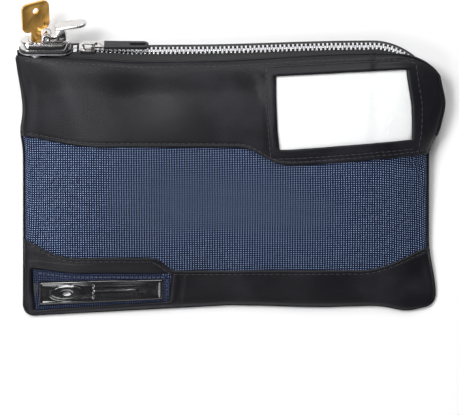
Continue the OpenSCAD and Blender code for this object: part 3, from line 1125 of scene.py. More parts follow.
    def front(self, x: np.ndarray, y: np.ndarray, lift: np.ndarray | float = 0.0) -> np.ndarray:
        """Points on the front, lifted along the surface's normal.

        Args:
            x: nominal x.
            y: real y.
            lift: height above the surface, negative for below.

        Returns:
            Points, one row each.
        """
        t = self.share(x, y)
        lift = np.broadcast_to(lift, np.shape(x))[..., None]
        return self.look_up(self.points, x, t) + self.look_up(self.normals, x, t) * lift

    def back(self, x: np.ndarray, y: np.ndarray, lift: np.ndarray | float = 0.0) -> np.ndarray:
        """Points on the back, which lies flat and turns up to its fold behind the zip.

        Args:
            x: nominal x.
            y: real y.
            lift: height above the outer face, into the bag.

        Returns:
            Points, one row each.
        """
        fold = self.back_rise(x)
        lift_by = 0.0069 - 0.0026 * ease(0.085, 0.100, -x) - 0.0059 * ease(0.088, 0.122, x)
        turn_up = lift_by * ease(0, 1, (y - fold + 0.016) / 0.022)
        edge, off_table = 0.006, 0.0004
        inwards = np.minimum(
            np.clip((y - self.bottom(x)) / edge, 0, 1), np.clip((self.half - np.abs(x)) / edge, 0, 1)
        )
        roll_up = 0.0007 * (1 - inwards) ** 2
        lift = np.broadcast_to(lift, np.shape(x))
        return np.stack([self.side(x, y), y, off_table + turn_up + roll_up + lift], axis=-1)

    # the zip's line

    @property
    def run(self) -> float:
        """Length of the zip's straight run."""
        end = self.corner_x - self.corner_r * math.sin(self.slope)
        return (end - self.zip_x0) / math.cos(self.slope)

    @property
    def turn(self) -> float:
        """Length of the zip's way round the corner."""
        return self.corner_r * (math.pi / 2 + self.slope)

    @property
    def zip_length(self) -> float:
        """The zip's whole length."""
        return self.run + self.turn + self.tail

    def zip_axes(self, s: float) -> tuple[np.ndarray, np.ndarray, np.ndarray, np.ndarray]:
        """The zip's line at a distance along it.

        Args:
            s: distance from its end under the lock.

        Returns:
            The point, and the directions along it, across it to the back, and out of its face.
        """
        turned = min(max(s - self.run, 0), self.turn) / self.turn
        angle = self.slope - (math.pi / 2 + self.slope) * turned
        end = self.run + self.turn
        flattens_from, drop = self.run - 0.008, 0.004
        roll = self.roll * (1 - float(ease(flattens_from, end, s)))
        z = self.zip_z - drop * float(ease(self.run, end, s))
        if s < self.run:
            x = self.zip_x0 + s * math.cos(self.slope)
            point = np.array([x, float(self.chain_y(x)), z])
        else:
            past = max(0.0, s - end)
            centre_y = self.zip_y + self.corner_x * math.tan(self.slope) - self.corner_r
            x = self.corner_x - self.corner_r * math.sin(angle)
            point = np.array([x, centre_y + self.corner_r * math.cos(angle) - past, z])
        out = np.array([-math.sin(angle), math.cos(angle), 0])
        along = np.array([math.cos(angle), math.sin(angle), 0])
        across = math.sin(roll) * out - math.cos(roll) * UP
        face = math.cos(roll) * out + math.sin(roll) * UP
        return point, along, across, face

    def rim_line(
        self, stations: np.ndarray, behind: bool, inward: float = 0.0, lift: float = 0.0
    ) -> np.ndarray:
        """The fold beside the zip, point for point with the zip's own stations.

        Args:
            stations: distances along the zip.
            behind: True for the back panel's fold.
            inward: distance in plan from the fold into the panel.
            lift: height above the panel's outer face.

        Returns:
            Points, one row each.
        """
        fold = self.back_fold if behind else self.fold
        x = np.clip(self.zip_x0 + stations * math.cos(self.slope), -self.half, self.corner_x)
        line = np.stack([x, fold(x)], axis=-1)
        bend = spread(self.corner_x, self.half, 0.001)
        down = spread(float(fold(np.array(self.half))), 0.030, 0.002)[1:]
        bend_line = np.concatenate([
            np.stack([bend, fold(bend)], axis=-1), np.stack([np.full_like(down, self.half), down], axis=-1)
        ])
        far = distances(bend_line)
        past = stations > self.run
        part = (stations[past] - self.run) / (self.zip_length - self.run) * far[-1]
        for k in range(2):
            line[past, k] = np.interp(part, far, bend_line[:, k])
        way = np.gradient(line, axis=0)
        way /= np.linalg.norm(way, axis=1, keepdims=True)
        line = line + np.stack([way[:, 1], -way[:, 0]], axis=-1) * inward
        lay = self.back if behind else self.front
        return lay(line[:, 0], line[:, 1], lift)


HEM_EDGE = 0.0009
SEWN_IN = 0.0024
WINDOW_SEWN = 0.0062
CELL = 0.0016
PLAN_CELL = 0.0021


def graded(low: float, high: float, fine: float, coarse: float, edge: float = 0.004) -> np.ndarray:
    """Values that are close together near both ends, for a hem, and wider between."""
    inner = spread(low + edge, high - edge, coarse)
    return np.concatenate([spread(low, low + edge, fine)[:-1], inner, spread(high - edge, high, fine)[1:]])


def hem(distance: np.ndarray, sewn: float = SEWN_IN) -> np.ndarray:
    """How a turned and sewn edge stands.

    Args:
        distance: how far inside the edge each point is.
        sewn: how far inside the edge the sewing runs.

    Returns:
        The change in height: rounded off at the edge, and pulled in along the sewing.
    """
    rounded = -0.0006 * (1 - np.clip(distance / HEM_EDGE, 0, 1)) ** 2
    fullness = 0.00028 * bump(distance, 0.0012, 0.0008)
    return rounded + fullness - 0.00050 * bump(distance, sewn, 0.0007)


@dataclass
class ClothPanel:
    """One cut piece of the bag, laid on the settled surface between two seam lines."""

    name: str
    columns: np.ndarray
    low: Callable[[np.ndarray], np.ndarray]
    high: Callable[[np.ndarray], np.ndarray]
    step: float
    lift: float
    thickness: float
    finish: Finish
    slot: str
    replaces: tuple[str, ...]
    hems: tuple[str, ...] = ()
    front: bool = True
    hole: "Opening | None" = None
    rests_on: tuple[str, ...] = ()
    held: str = "stretched"

    def rows(self) -> np.ndarray:
        """Where the grid's rows go.

        Returns:
            Shares of the way from the low line to the high one, closer together at hems.
        """
        x = np.array([0.0])
        height = float((self.high(x) - self.low(x))[0])
        return graded(0, height, 0.0006, self.step) / height

    def build(self, form: BagForm) -> bpy.types.Object:
        """Cuts and lays the panel.

        Args:
            form: the bag's surface.

        Returns:
            The panel.
        """
        rows = self.hole.rows() if self.hole else self.rows()
        bm, spots = grid(len(self.columns), len(rows))
        if self.hole:
            cut = [f for f in bm.faces if self.hole.holds(f, spots)]
            bmesh.ops.delete(bm, geom=cut, context="FACES")
        verts = list(bm.verts)
        x = np.array([self.columns[spots[v][0]] for v in verts])
        t = np.array([rows[spots[v][1]] for v in verts])
        if self.hole:
            x, y = self.hole.place(x, t, self)
        else:
            y = self.low(x) + (self.high(x) - self.low(x)) * t
        for v, a, b in zip(verts, x, y):
            v.co = (a, b, 0)
        cut_area = sum(f.calc_area() for f in bm.faces)
        cut_size = (float(np.ptp(x)), float(np.ptp(y)))
        lift = self.lift + self.edges(x, y) * (1 if self.front else -1)
        if self.hole:
            lift = lift + hem(self.hole.distance(x, y), WINDOW_SEWN)
        lay = form.front if self.front else form.back
        places = lay(x, y, lift)
        if self.slot == "lining":
            places[:, 2] = np.maximum(places[:, 2], self.thickness + TABLE_GAP)
        if self.front:
            flat = form.look_up(form.lengths, x, form.share(x, y))
        else:
            flat = np.stack([form.side(x, y), y], axis=-1)
        for v, place in zip(verts, places):
            v.co = place
        map_cloth(bm, dict(zip(verts, flat)))
        if not self.front:
            bmesh.ops.reverse_faces(bm, faces=bm.faces)
        piece = finished(self.name, bm, self.finish, self.slot, "bag", self.replaces)
        thicken(piece, self.thickness, -1)
        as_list(self.rests_on)
        return piece

    def edges(self, x: np.ndarray, y: np.ndarray) -> np.ndarray:
        """How the panel's hems raise or lower it.

        Args:
            x: nominal x.
            y: real y.

        Returns:
            The change in height at each point.
        """
        total = np.zeros_like(x)
        if "low" in self.hems:
            total += hem(y - self.low(x))
        if "high" in self.hems:
            total += hem(self.high(x) - y)
        return total


@dataclass(frozen=True)
class Opening:
    """A four-sided hole in a panel, given by its corners in plan."""

    left: tuple[float, float]
    right: tuple[float, float]
    floor: Callable[[np.ndarray], np.ndarray]
    roof: Callable[[np.ndarray], np.ndarray]
    cells: tuple[int, int, int]
    columns: tuple[int, int] = (0, 0)
    side_points: int = 60

    def rows(self) -> np.ndarray:
        """Where the grid's rows go.

        Returns:
            0 to 1 for the rows below the hole, 1 to 2 beside it and 2 to 3 above it.
        """
        below, beside, above = self.cells
        return np.concatenate([
            np.linspace(0, 1, below + 1)[:-1],
            np.linspace(1, 2, beside + 1)[:-1],
            np.linspace(2, 3, above + 1),
        ])

    def holds(self, face: bmesh.types.BMFace, spots: dict) -> bool:
        """Tells whether a face of the flat grid is inside the hole.

        Args:
            face: the face.
            spots: each vertex's column and row.

        Returns:
            True if it is.
        """
        i = sum(spots[v][0] for v in face.verts) / len(face.verts)
        j = sum(spots[v][1] for v in face.verts) / len(face.verts)
        below, beside, _ = self.cells
        return self.columns[0] < i < self.columns[1] and below < j < below + beside

    def lean(self, x: np.ndarray, y: np.ndarray) -> np.ndarray:
        """Shifts columns so that the hole's sides lean.

        Args:
            x: nominal x.
            y: real y.

        Returns:
            The leaning x.
        """
        middle = (self.left[0] + self.left[1]) / 2
        edge = (self.right[0] + self.right[1]) / 2
        share = np.clip((x - middle) / (edge - middle), 0, 1)
        tilt = (self.left[1] - self.left[0]) * (1 - share) + (self.right[1] - self.right[0]) * share
        before, side, beyond = 0.03, 0.131, 0.3
        near = ease(middle - before, middle, x) * (1 - ease(edge, side, x))
        low, high = self.floor(x), self.roof(x)
        return x + tilt * (np.clip((y - low) / (high - low), -beyond, 1 + beyond) - 0.5) * near

    def place(self, x: np.ndarray, t: np.ndarray, panel: ClothPanel) -> tuple[np.ndarray, np.ndarray]:
        """Turns grid places into places in plan.

        Args:
            x: nominal x.
            t: the row's value, as `rows` gives it.
            panel: the panel that the hole is in.

        Returns:
            Nominal x and real y.
        """
        inner = np.clip(x, min(self.left), max(self.right))
        low, high = panel.low(x), panel.high(x)
        span_here = high - low
        span_inner = panel.high(inner) - panel.low(inner)
        first = low + span_here * (self.floor(inner) - panel.low(inner)) / span_inner
        second = low + span_here * (self.roof(inner) - panel.low(inner)) / span_inner
        stops = np.stack([low, first, second, high])
        k = np.clip(np.floor(t).astype(int), 0, 2)
        pick = np.arange(len(x))
        y = stops[k, pick] + (stops[k + 1, pick] - stops[k, pick]) * (t - k)
        return self.lean(x, y), y

    def corners(self, grow: float) -> np.ndarray:
        """The outline grown outwards.

        Args:
            grow: by how much.

        Returns:
            Points round it, the first one again at the end.
        """
        x0 = np.array([self.left[0] - grow, self.left[1] - grow])
        x1 = np.array([self.right[0] + grow, self.right[1] + grow])
        floor = self.floor(np.array([x0[0], x1[0]])) - grow
        roof = self.roof(np.array([x0[1], x1[1]])) + grow
        turns = [(x0[0], floor[0]), (x1[0], floor[1]), (x1[1], roof[1]), (x0[1], roof[0])]
        line = []
        for a, b in zip(turns, turns[1:] + turns[:1]):
            for k in np.linspace(0, 1, self.side_points, endpoint=False):
                line.append((a[0] + (b[0] - a[0]) * k, a[1] + (b[1] - a[1]) * k))
        line.append(line[0])
        return np.array(line)

    def distance(self, x: np.ndarray, y: np.ndarray) -> np.ndarray:
        """Distance outside the hole's edge.

        Args:
            x: nominal x.
            y: real y.

        Returns:
            The distance, which is 0 inside the hole.
        """
        low, high = self.floor(x), self.roof(x)
        up = np.clip((y - low) / (high - low), 0, 1)
        x0 = self.left[0] + (self.left[1] - self.left[0]) * up
        x1 = self.right[0] + (self.right[1] - self.right[0]) * up
        aside = np.maximum(np.maximum(x0 - x, x - x1), 0)
        away = np.maximum(np.maximum(low - y, y - high), 0)
        return np.hypot(aside, away)


def sloping(start_x: float, start_y: float, slope: float) -> Callable[[np.ndarray], np.ndarray]:
    """A straight line in plan, as a function that gives y for x."""
    return lambda x: start_y + slope * (x - start_x)


WINDOW = Opening(
    left=(0.0320, 0.0290), right=(0.1150, 0.1105),
    floor=sloping(0.0320, 0.0213, 0.076), roof=sloping(0.0290, 0.0666, 0.054), cells=(12, 24, 14),
)
BADGE = Opening(
    left=(-0.1236, -0.1253), right=(-0.0390, -0.0370),
    floor=sloping(-0.1236, -0.0805, 0.060),
    roof=lambda x: -0.0574 + 0.0030 * ease(0.095, 0.127, -x), cells=(8, 20, 14),
)


def with_hole(hole: Opening, low: float, high: float, step: float) -> tuple[np.ndarray, Opening]:
    """Columns that meet a hole's sides, and the hole with their numbers.

    Args:
        hole: the hole.
        low: the panel's left side.
        high: its right side.
        step: the usual distance between columns.

    Returns:
        The columns and the completed hole.
    """
    x0, x1 = sum(hole.left) / 2, sum(hole.right) / 2
    before, within, after = spread(low, x0, step), spread(x0, x1, step), spread(x1, high, step)
    columns = np.concatenate([before[:-1], within, after[1:]])
    first = len(before) - 1
    numbers = (first, first + len(within) - 1)
    return columns, replace(hole, columns=numbers)


# ---------------------------------------------------------------- the bag


@dataclass
class BagBody:
    """The vinyl and nylon shell, its linings, folds and sewing."""

    form: BagForm
    vinyl: float = 0.0010
    nylon: float = 0.0007
    lap: float = 0.007
    step: float = PLAN_CELL
    lining: float = 0.0004
    lining_cell: float = 0.004
    edge_radius: float = 0.0009
    fold_radius: float = 0.00095

    def columns(self) -> np.ndarray:
        """Where the columns across the whole bag go.

        Returns:
            Nominal x of each, closer together at the sides.
        """
        half = self.form.half
        sides = np.concatenate([[0], np.cumsum(np.linspace(0.0007, self.step, 9))])
        middle = spread(-half + sides[-1], half - sides[-1], self.step)
        return np.concatenate([-half + sides[:-1], middle, (half - sides[:-1])[::-1]])

    def panels(self) -> list[ClothPanel]:
        """Every cut piece of the shell.

        Returns:
            The front's panels, then the back's.
        """
        form = self.form
        half = form.half
        window_columns, window = with_hole(WINDOW, -half, half, self.step)
        badge_columns, badge = with_hole(BADGE, -half, half, self.step)
        columns = self.columns()
        lining_columns = columns[4:-4]
        vinyl = (self.vinyl, Finish.VINYL, "vinyl_black")
        nylon = (self.nylon, Finish.NYLON, "nylon_blue")
        lining = (self.lining, Finish.LINING, "lining")
        nylon_low = lambda x: form.lower_seam(x) - self.lap
        nylon_high = lambda x: form.upper_seam(x) + self.lap
        lining_top = lambda x: form.fold(x) - 0.003 - 0.008 * ease(0.095, 0.115, -x)
        front_nylon_lift = -self.vinyl - 0.00015
        return [
            ClothPanel(
                "front_upper_vinyl", window_columns, form.upper_seam, form.fold, CELL, 0.0, *vinyl,
                ("front_upper_panel",), ("low",), hole=window, rests_on=("seam_edge", "front_middle_nylon"),
            ),
            ClothPanel(
                "front_lower_vinyl", badge_columns, form.bottom, form.lower_seam, CELL, 0.0, *vinyl,
                ("front_lower_panel",), ("high",), hole=badge, rests_on=("seam_edge", "front_middle_nylon"),
            ),
            ClothPanel(
                "front_middle_nylon", columns, nylon_low, nylon_high, CELL, front_nylon_lift, *nylon,
                ("front_middle_panel",), rests_on=("front_upper_vinyl", "front_lower_vinyl"),
            ),
            ClothPanel(
                "front_lining_cloth", lining_columns, lambda x: form.bottom(x) + 0.008, lining_top,
                self.lining_cell, -0.0034, *lining,
                ("front_lining",), rests_on=("front_middle_nylon", "seam_edge"),
            ),
            ClothPanel(
                "back_upper_vinyl", columns, form.upper_seam, form.back_fold, CELL, 0.0, *vinyl,
                ("back_upper_panel",), ("low",), front=False, rests_on=("seam_edge", "back_middle_nylon"),
            ),
            ClothPanel(
                "back_lower_vinyl", columns, form.bottom, form.lower_seam, CELL, 0.0, *vinyl,
                ("back_lower_panel",), ("high",), front=False, rests_on=("seam_edge", "back_middle_nylon"),
            ),
            ClothPanel(
                "back_middle_nylon", columns, nylon_low, nylon_high, CELL, self.vinyl * 0.35, *nylon,
                ("back_middle_panel",), front=False, rests_on=("back_upper_vinyl", "back_lower_vinyl"),
            ),
            ClothPanel(
                "back_lining_cloth", lining_columns, lambda x: form.bottom(x) + 0.004,
                lambda x: form.back_fold(x) - 0.016, self.lining_cell, 0.0022, *lining,
                ("back_lining",), front=False, rests_on=("back_middle_nylon",),
            ),
        ]

    def seam_path(self) -> tuple[np.ndarray, np.ndarray]:
        """The side and bottom seams in plan, from the top left round to the zip's end.

        Returns:
            Nominal x and real y of each point.
        """
        form = self.form
        step, corner_step, corner, zip_end_y = 0.002, 0.0007, 0.008, 0.030
        x = np.array([-form.half, form.half])
        low, top = form.bottom(x), form.fold(x)
        left = spread(top[0] - 0.001, low[0], step)
        right = spread(low[1], zip_end_y, step)
        along = np.concatenate([
            spread(-form.half, -form.half + corner, corner_step)[:-1],
            spread(-form.half + corner, form.half - corner, step)[:-1],
            spread(form.half - corner, form.half, corner_step),
        ])
        xs = np.concatenate([np.full_like(left, -form.half), along[1:-1], np.full_like(right, form.half)])
        ys = np.concatenate([left, form.bottom(along)[1:-1], right])
        return xs, ys

    def seam_roll(self) -> None:
        """The closed edge where front and back are sewn together, which stands in for the welt inside it."""
        xs, ys = self.seam_path()
        line = self.form.front(xs, ys, -0.0006)
        back = self.form.back(xs, ys, 0.0004)
        middle = (line + back) / 2
        gaps = (line - back)[:, 2]
        tall = float(np.median(gaps)) / 2 + 0.0003
        edge = swept(middle, round_section(self.edge_radius, 12, tall / self.edge_radius))
        heights = gaps / 2 + 0.0002
        self.fit_heights(edge, middle, heights, tall)
        finished("seam_edge", edge, Finish.VINYL, "vinyl_black", "bag", ["seam_welt"])

    def fit_heights(
        self, bm: bmesh.types.BMesh, middle: np.ndarray, heights: np.ndarray, tall: float
    ) -> None:
        """Makes a swept edge as tall as the gap that it closes, all along.

        Args:
            bm: the swept edge.
            middle: the line that it was swept along.
            heights: half the height wanted at each point of the line.
            tall: half the height that it was swept with.
        """
        for v in bm.verts:
            k = int(np.argmin(np.sum((middle[:, :2] - np.array(v.co[:2])) ** 2, axis=1)))
            v.co.z = max(0.0, middle[k, 2] + (v.co.z - middle[k, 2]) * heights[k] / tall)

    def folds(self) -> None:
        """The rolled folds of vinyl along both sides of the zip."""
        form = self.form
        bend = spread(form.run, form.zip_length, CELL)
        rolls = (("front_fold_roll", False, -0.0007, -0.0135), ("back_fold_roll", True, 0.0005, -0.031))
        for name, behind, rise, start in rolls:
            line = form.rim_line(np.concatenate([spread(start, form.run - 0.002, 0.0025), bend]), behind)
            line[:, 2] += rise
            finished(name, swept(line, round_section(self.fold_radius, 12)), Finish.VINYL, "vinyl_black")

    def sewing(self) -> None:
        """Topstitching along the seams, the fold and the window."""
        form = self.form
        inset, step = 0.004, 0.0015
        x = spread(-form.half + inset, form.half - inset, step)
        by_zip = x[:-6]
        proud, sunk, behind = 0.00012, -0.00008, -0.0001
        lines = [
            form.front(x, form.upper_seam(x) + SEWN_IN, sunk),
            form.front(x, form.lower_seam(x) - SEWN_IN, sunk),
            form.front(by_zip, form.fold(by_zip) - 0.0035, proud),
        ]
        around = WINDOW.corners(WINDOW_SEWN)
        lines += [form.front(side[:, 0], side[:, 1], sunk) for side in np.split(around[:-1], 4)]
        stitched("topstitching_front", lines, Finish.THREAD)
        lines = [
            form.back(x, form.upper_seam(x) + SEWN_IN, behind),
            form.back(x, form.lower_seam(x) - SEWN_IN, behind),
            form.back(by_zip, form.back_fold(by_zip) - 0.003, behind),
        ]
        stitched("topstitching_back", lines, Finish.THREAD)

    def build(self) -> None:
        """Makes the whole shell."""
        for panel in self.panels():
            panel.build(self.form)
        self.seam_roll()
        self.folds()
        self.sewing()


@dataclass
class LabelWindow:
    """The clear window, the card behind it and the pocket that holds it."""

    form: BagForm
    cell: float = 0.003

    def layer(
        self, name: str, grow: float, lift: float, thickness: float, finish: Finish, slot: str, node: str,
        rests_on: str, held: str,
    ) -> None:
        """Makes one layer behind the window.

        Args:
            name: the piece's name.
            grow: how far it goes beyond the opening.
            lift: its height from the bag's surface, negative for below.
            thickness: its thickness.
            finish: what it is made of.
            slot: the record's material slot.
            node: the CAD node that it stands for.
            rests_on: not used.
            held: not used.
        """
        columns = spread(min(WINDOW.left) - grow, max(WINDOW.right) + grow, self.cell)
        ClothPanel(
            name, columns, lambda x: WINDOW.floor(x) - grow, lambda x: WINDOW.roof(x) + grow, self.cell,
            lift, thickness, finish, slot, (node,), rests_on=(rests_on,), held=held,
        ).build(self.form)

    def build(self) -> None:
        """Makes the film, the card and the pocket."""
        self.layer("window_film_sheet", 0.0040, -0.00125, 0.0003, Finish.FILM, "clear_film",
                   "window_film", "front_upper_vinyl", "stretched")
        self.layer("address_card_sheet", 0.0016, -0.0019, 0.0004, Finish.CARD, "card_white",
                   "address_card", "card_pocket_cloth", "laid")
        self.layer("card_pocket_cloth", 0.0056, -0.0026, 0.0005, Finish.LINING, "lining",
                   "card_pocket", "front_upper_vinyl", "stretched")


@dataclass
class Badge:
    """The nylon ground in the cut-out and the glossy embossed plate on it."""

    form: BagForm
    left: float = -0.1213
    right: float = -0.0424
    border: float = 0.0016
    lens_at: float = 0.018
    lens_size: tuple = (0.0115, 0.0050)
    lens_height: float = 0.0009
    bars_from: float = 0.035
    bar_lengths: tuple = (0.034, 0.028, 0.031)
    bar_height: float = 0.0007
    bar_spacing: float = 0.62
    bar_ease: float = 0.0004

    def floor(self, x: np.ndarray) -> np.ndarray:
        """The plate's lower edge."""
        return -0.0778 + 0.050 * (x - self.left)

    def roof(self, x: np.ndarray) -> np.ndarray:
        """The plate's upper edge."""
        return -0.0622 + 0.017 * (x - self.left)

    def relief(self, x: np.ndarray, y: np.ndarray) -> np.ndarray:
        """Embossing: a raised border, a lens shape and three bars, all without letters.

        Args:
            x: nominal x.
            y: real y.

        Returns:
            The height of the embossing at each point.
        """
        low, high = self.floor(x), self.roof(x)
        across = np.minimum(x - self.left, self.right - x)
        up = np.minimum(y - low, high - y)
        edge = np.minimum(across, up)
        rounded = -0.0007 * (1 - np.clip(edge / 0.0008, 0, 1)) ** 2
        frame_line = 0.00045 * bump(edge, self.border, 0.0006)
        wide, tall = self.lens_size
        v = (y - (low + high) / 2) / tall
        u = (x - (self.left + self.lens_at)) / wide
        lens = ease(0.0, 0.16, 1 - np.sqrt(u ** 2 + v ** 2))
        slot_mark = ease(0.0, 0.2, 0.42 - np.sqrt((u * 1.1) ** 2 + (v * 1.4) ** 2))
        bars = np.zeros_like(x)
        start, soft = self.left + self.bars_from, self.bar_ease
        for k, length in enumerate(self.bar_lengths):
            row = (v - self.bar_spacing * (1 - k)) / 0.2
            stop = start + length
            inside = ease(start - soft, start + soft, x) * (1 - ease(stop - soft, stop + soft, x))
            bars += ease(0.0, 0.7, 1 - np.abs(row)) * inside
        motif = self.lens_height * (lens - 0.8 * slot_mark) + self.bar_height * bars
        return rounded + frame_line + motif

    def build(self) -> None:
        """Makes the ground, the plate and the ground's sewing."""
        form = self.form
        columns = spread(min(BADGE.left) - 0.003, max(BADGE.right) + 0.004, PLAN_CELL)
        ClothPanel(
            "badge_ground_nylon", columns, lambda x: BADGE.floor(x) - 0.0022,
            lambda x: np.minimum(BADGE.roof(x) + 0.005, form.lower_seam(x) - 0.0012), CELL, -0.00115, 0.0006,
            Finish.GROUND, "nylon_blue", ("badge_ground",), rests_on=("front_lower_vinyl",),
        ).build(form)
        columns = graded(self.left, self.right, 0.0004, 0.0005)
        EmbossedPlate(
            "badge_plate_embossed", columns, self.floor, self.roof, 0.0005, 0.0, 0.0008,
            Finish.BADGE, "badge_gloss", ("badge_plate",), rests_on=("badge_ground_nylon",), held="laid",
            badge=self,
        ).build(form)
        step, sunk = 0.0015, -0.0011
        side = np.array(-0.04)
        x = spread(BADGE.left[1] + 0.003, BADGE.right[1] - 0.002, step)
        y = spread(float(BADGE.floor(side)) + 0.003, float(BADGE.roof(side)) - 0.003, step)
        beside = np.full_like(y, BADGE.right[1] - 0.0028)
        rows = [form.front(x, BADGE.roof(x) - 0.0026, sunk), form.front(beside, y, sunk)]
        stitched("badge_sewing", rows, Finish.PALE_THREAD, 0.0002, 0.0016, 0.0012)


@dataclass
class EmbossedPlate(ClothPanel):
    """A cloth-like plate whose face carries the badge's relief."""

    badge: Badge | None = None

    def edges(self, x: np.ndarray, y: np.ndarray) -> np.ndarray:
        """The embossing, in place of hems."""
        return self.badge.relief(x, y)


# ---------------------------------------------------------------- the zip


@dataclass
class Zip:
    """Two tapes, two rows of teeth and their stops, along the bag's zip line."""

    form: BagForm
    pitch: float = 0.0027
    root: float = 0.0030
    first: float = 0.0088
    tooth_width: float = 0.00125
    tooth_height: float = 0.0023
    sewn: float = 0.0075
    tape_thickness: float = 0.0006
    tape_from: float = -0.004
    bead: float = 0.0005
    neck_length: float = 0.0042
    neck_back: float = 0.0011

    def tape(self, name: str, behind: bool) -> None:
        """One tape from its teeth to the fold, and on under the fold to where it is sewn.

        Args:
            name: the piece's name.
            behind: True for the back tape.
        """
        form = self.form
        stations = np.concatenate([
            spread(self.tape_from, form.run, 0.003)[:-1], spread(form.run, form.zip_length, CELL)
        ])
        side = 1 if behind else -1
        axes = [form.zip_axes(s) for s in stations]
        inner = np.array([point + across * side * self.root * 0.92 for point, _, across, _ in axes])
        faces = np.array([face for *_, face in axes])
        under = 0.0014 if behind else -0.0014
        inwards = (0.0, 0.0025, 0.005, self.sewn)
        hidden = [form.rim_line(stations, behind, inward, under) for inward in inwards]
        shares = (0, 0.06, 0.12, 0.2, 0.35, 0.5, 0.65, 0.8, 0.9)
        beads = [self.bead * float(bump(np.array(share), 0.06, 0.05)) for share in shares]
        lines = [inner * (1 - t) + hidden[0] * t + faces * bead for t, bead in zip(shares, beads)] + hidden
        bm, spots = grid(len(stations), len(lines))
        widths = np.concatenate([
            [np.zeros(len(stations))], np.cumsum(np.linalg.norm(np.diff(lines, axis=0), axis=2), axis=0)
        ])
        for v, (i, j) in spots.items():
            v.co = lines[j][i]
        map_cloth(bm, {v: (stations[i], widths[j, i]) for v, (i, j) in spots.items()})
        bmesh.ops.recalc_face_normals(bm, faces=bm.faces)
        if sum(f.normal.z * f.calc_area() for f in bm.faces) < 0:
            bmesh.ops.reverse_faces(bm, faces=bm.faces)
        end = "back" if behind else "front"
        piece = finished(name, bm, Finish.TAPE, "tape_black", "bag", [f"zip_tape_{end}"])
        thicken(piece, self.tape_thickness, 0)

    def tooth(self) -> bmesh.types.BMesh:
        """One tooth, with a waist and a tapered head.

        Returns:
            The tooth, its head towards +y.
        """
        bm = bmesh.new()
        long, back = self.neck_length, self.neck_back
        size = Matrix.Diagonal((self.tooth_width, long, self.tooth_height, 1))
        bmesh.ops.create_cube(bm, size=1, matrix=Matrix.Translation((0, -back, 0)) @ size)
        bmesh.ops.bevel(
            bm, geom=list(bm.edges), offset=0.00028, affect="EDGES", segments=2, profile=0.5, material=-1,
            clamp_overlap=True,
        )
        for v in bm.verts:
            forward = (v.co.y + back + long / 2) / long
            v.co.x *= 1.0 - 0.30 * math.exp(-(((forward - 0.62) / 0.16) ** 2))
            v.co.z *= 1.0 - 0.22 * max(0.0, forward - 0.45)
        return bm

    def teeth(self, name: str, behind: bool) -> None:
        """One row of teeth, crimped on its tape.

        Args:
            name: the piece's name.
            behind: True for the back row, which stands half a pitch further on.
        """
        form = self.form
        bare_end = 0.006
        count = int((form.zip_length - self.first - bare_end) / self.pitch)
        mesh = as_mesh("one_tooth", self.tooth())
        bm = bmesh.new()
        for k in range(count):
            s = self.first + (k + (0.5 if behind else 0.0)) * self.pitch
            point, along, across, face = form.zip_axes(s)
            sign = -1 if behind else 1
            turn = Matrix([along * sign, across * sign, face]).transposed().to_4x4()
            start = len(bm.verts)
            bm.from_mesh(mesh)
            bm.verts.ensure_lookup_table()
            place = Matrix.Translation(Vector(point)) @ turn
            bmesh.ops.transform(bm, matrix=place, verts=bm.verts[start:])
        bpy.data.meshes.remove(mesh)
        end = "back" if behind else "front"
        finished(name, bm, Finish.TEETH, "zip_metal", "bag", [f"zip_teeth_{end}"])

    def build(self) -> None:
        """Makes the whole zip without its slider."""
        self.tape("zip_tape_front_cloth", False)
        self.tape("zip_tape_back_cloth", True)
        self.teeth("zip_teeth_front_row", False)
        self.teeth("zip_teeth_back_row", True)
        softened("zip_top_stops", Finish.TEETH, "zip_metal", "bag", 0.0003)
        softened("zip_end_stop", Finish.TEETH, "zip_metal", "bag", 0.0003)


@dataclass
class SliderAndPull:
    """The slider, its bail, the metal tab and the rubber sleeve on it."""

    def build(self) -> None:
        """Rounds the CAD parts' edges and dresses them."""
        softened("slider_body", Finish.CHROME, "zip_metal", "slider", 0.00028)
        softened("slider_bail", Finish.CHROME, "zip_metal", "slider", 0.0003)
        softened("pull_tab", Finish.CHROME, "zip_metal", "pull", 0.00025)
        softened("pull_sleeve", Finish.RUBBER, "rubber_black", "pull", 0.0006)


# ---------------------------------------------------------------- the lock


@dataclass
class Lock:
    """The lock's plates, its plug and key, and the lever that closes over the slider."""

    def build(self) -> None:
        """Rounds and dresses the lock's parts, and dresses its small inner parts as they are."""
        parts = [
            ("lock_gasket", Finish.RUBBER, "rubber_black", "bag", 0.0003),
            ("zip_end_tab", Finish.TAPE, "tape_black", "bag", 0.0002),
            ("lock_base_plate", Finish.CHROME, "steel", "bag", 0.0002),
            ("lock_housing", Finish.CHROME, "lock_chrome", "bag", 0.0006),
            ("lock_cover", Finish.CHROME, "lock_chrome", "bag", 0.00025),
            ("lock_barrel", Finish.STEEL, "steel", "bag", 0.0002),
            ("lock_backing_plate", Finish.STEEL, "steel", "bag", 0.0002),
            ("lock_rivets", Finish.STEEL, "steel", "bag", 0.0002),
            ("lever_pin", Finish.STEEL, "steel", "bag", 0.0002),
            ("lock_plug", Finish.CHROME, "lock_chrome", "plug", 0.00015),
            ("key", Finish.BRASS, "key_brass", "key", 0.00035),
            ("lever_arm", Finish.CHROME, "lock_chrome", "lever", 0.0004),
            ("lever_paddle", Finish.CHROME, "lock_chrome", "lever", 0.0008),
            ("lever_catch", Finish.STEEL, "steel", "lever", 0.0002),
        ]
        for node, finish, slot, body, width in parts:
            softened(node, finish, slot, body, width)
        WARDROBE.dress(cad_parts["plug_wafers"], Finish.BRASS)
        for node in ("plug_cam", "latch_bolt", "lever_spring"):
            WARDROBE.dress(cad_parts[node], Finish.STEEL)


# ---------------------------------------------------------------- the studio


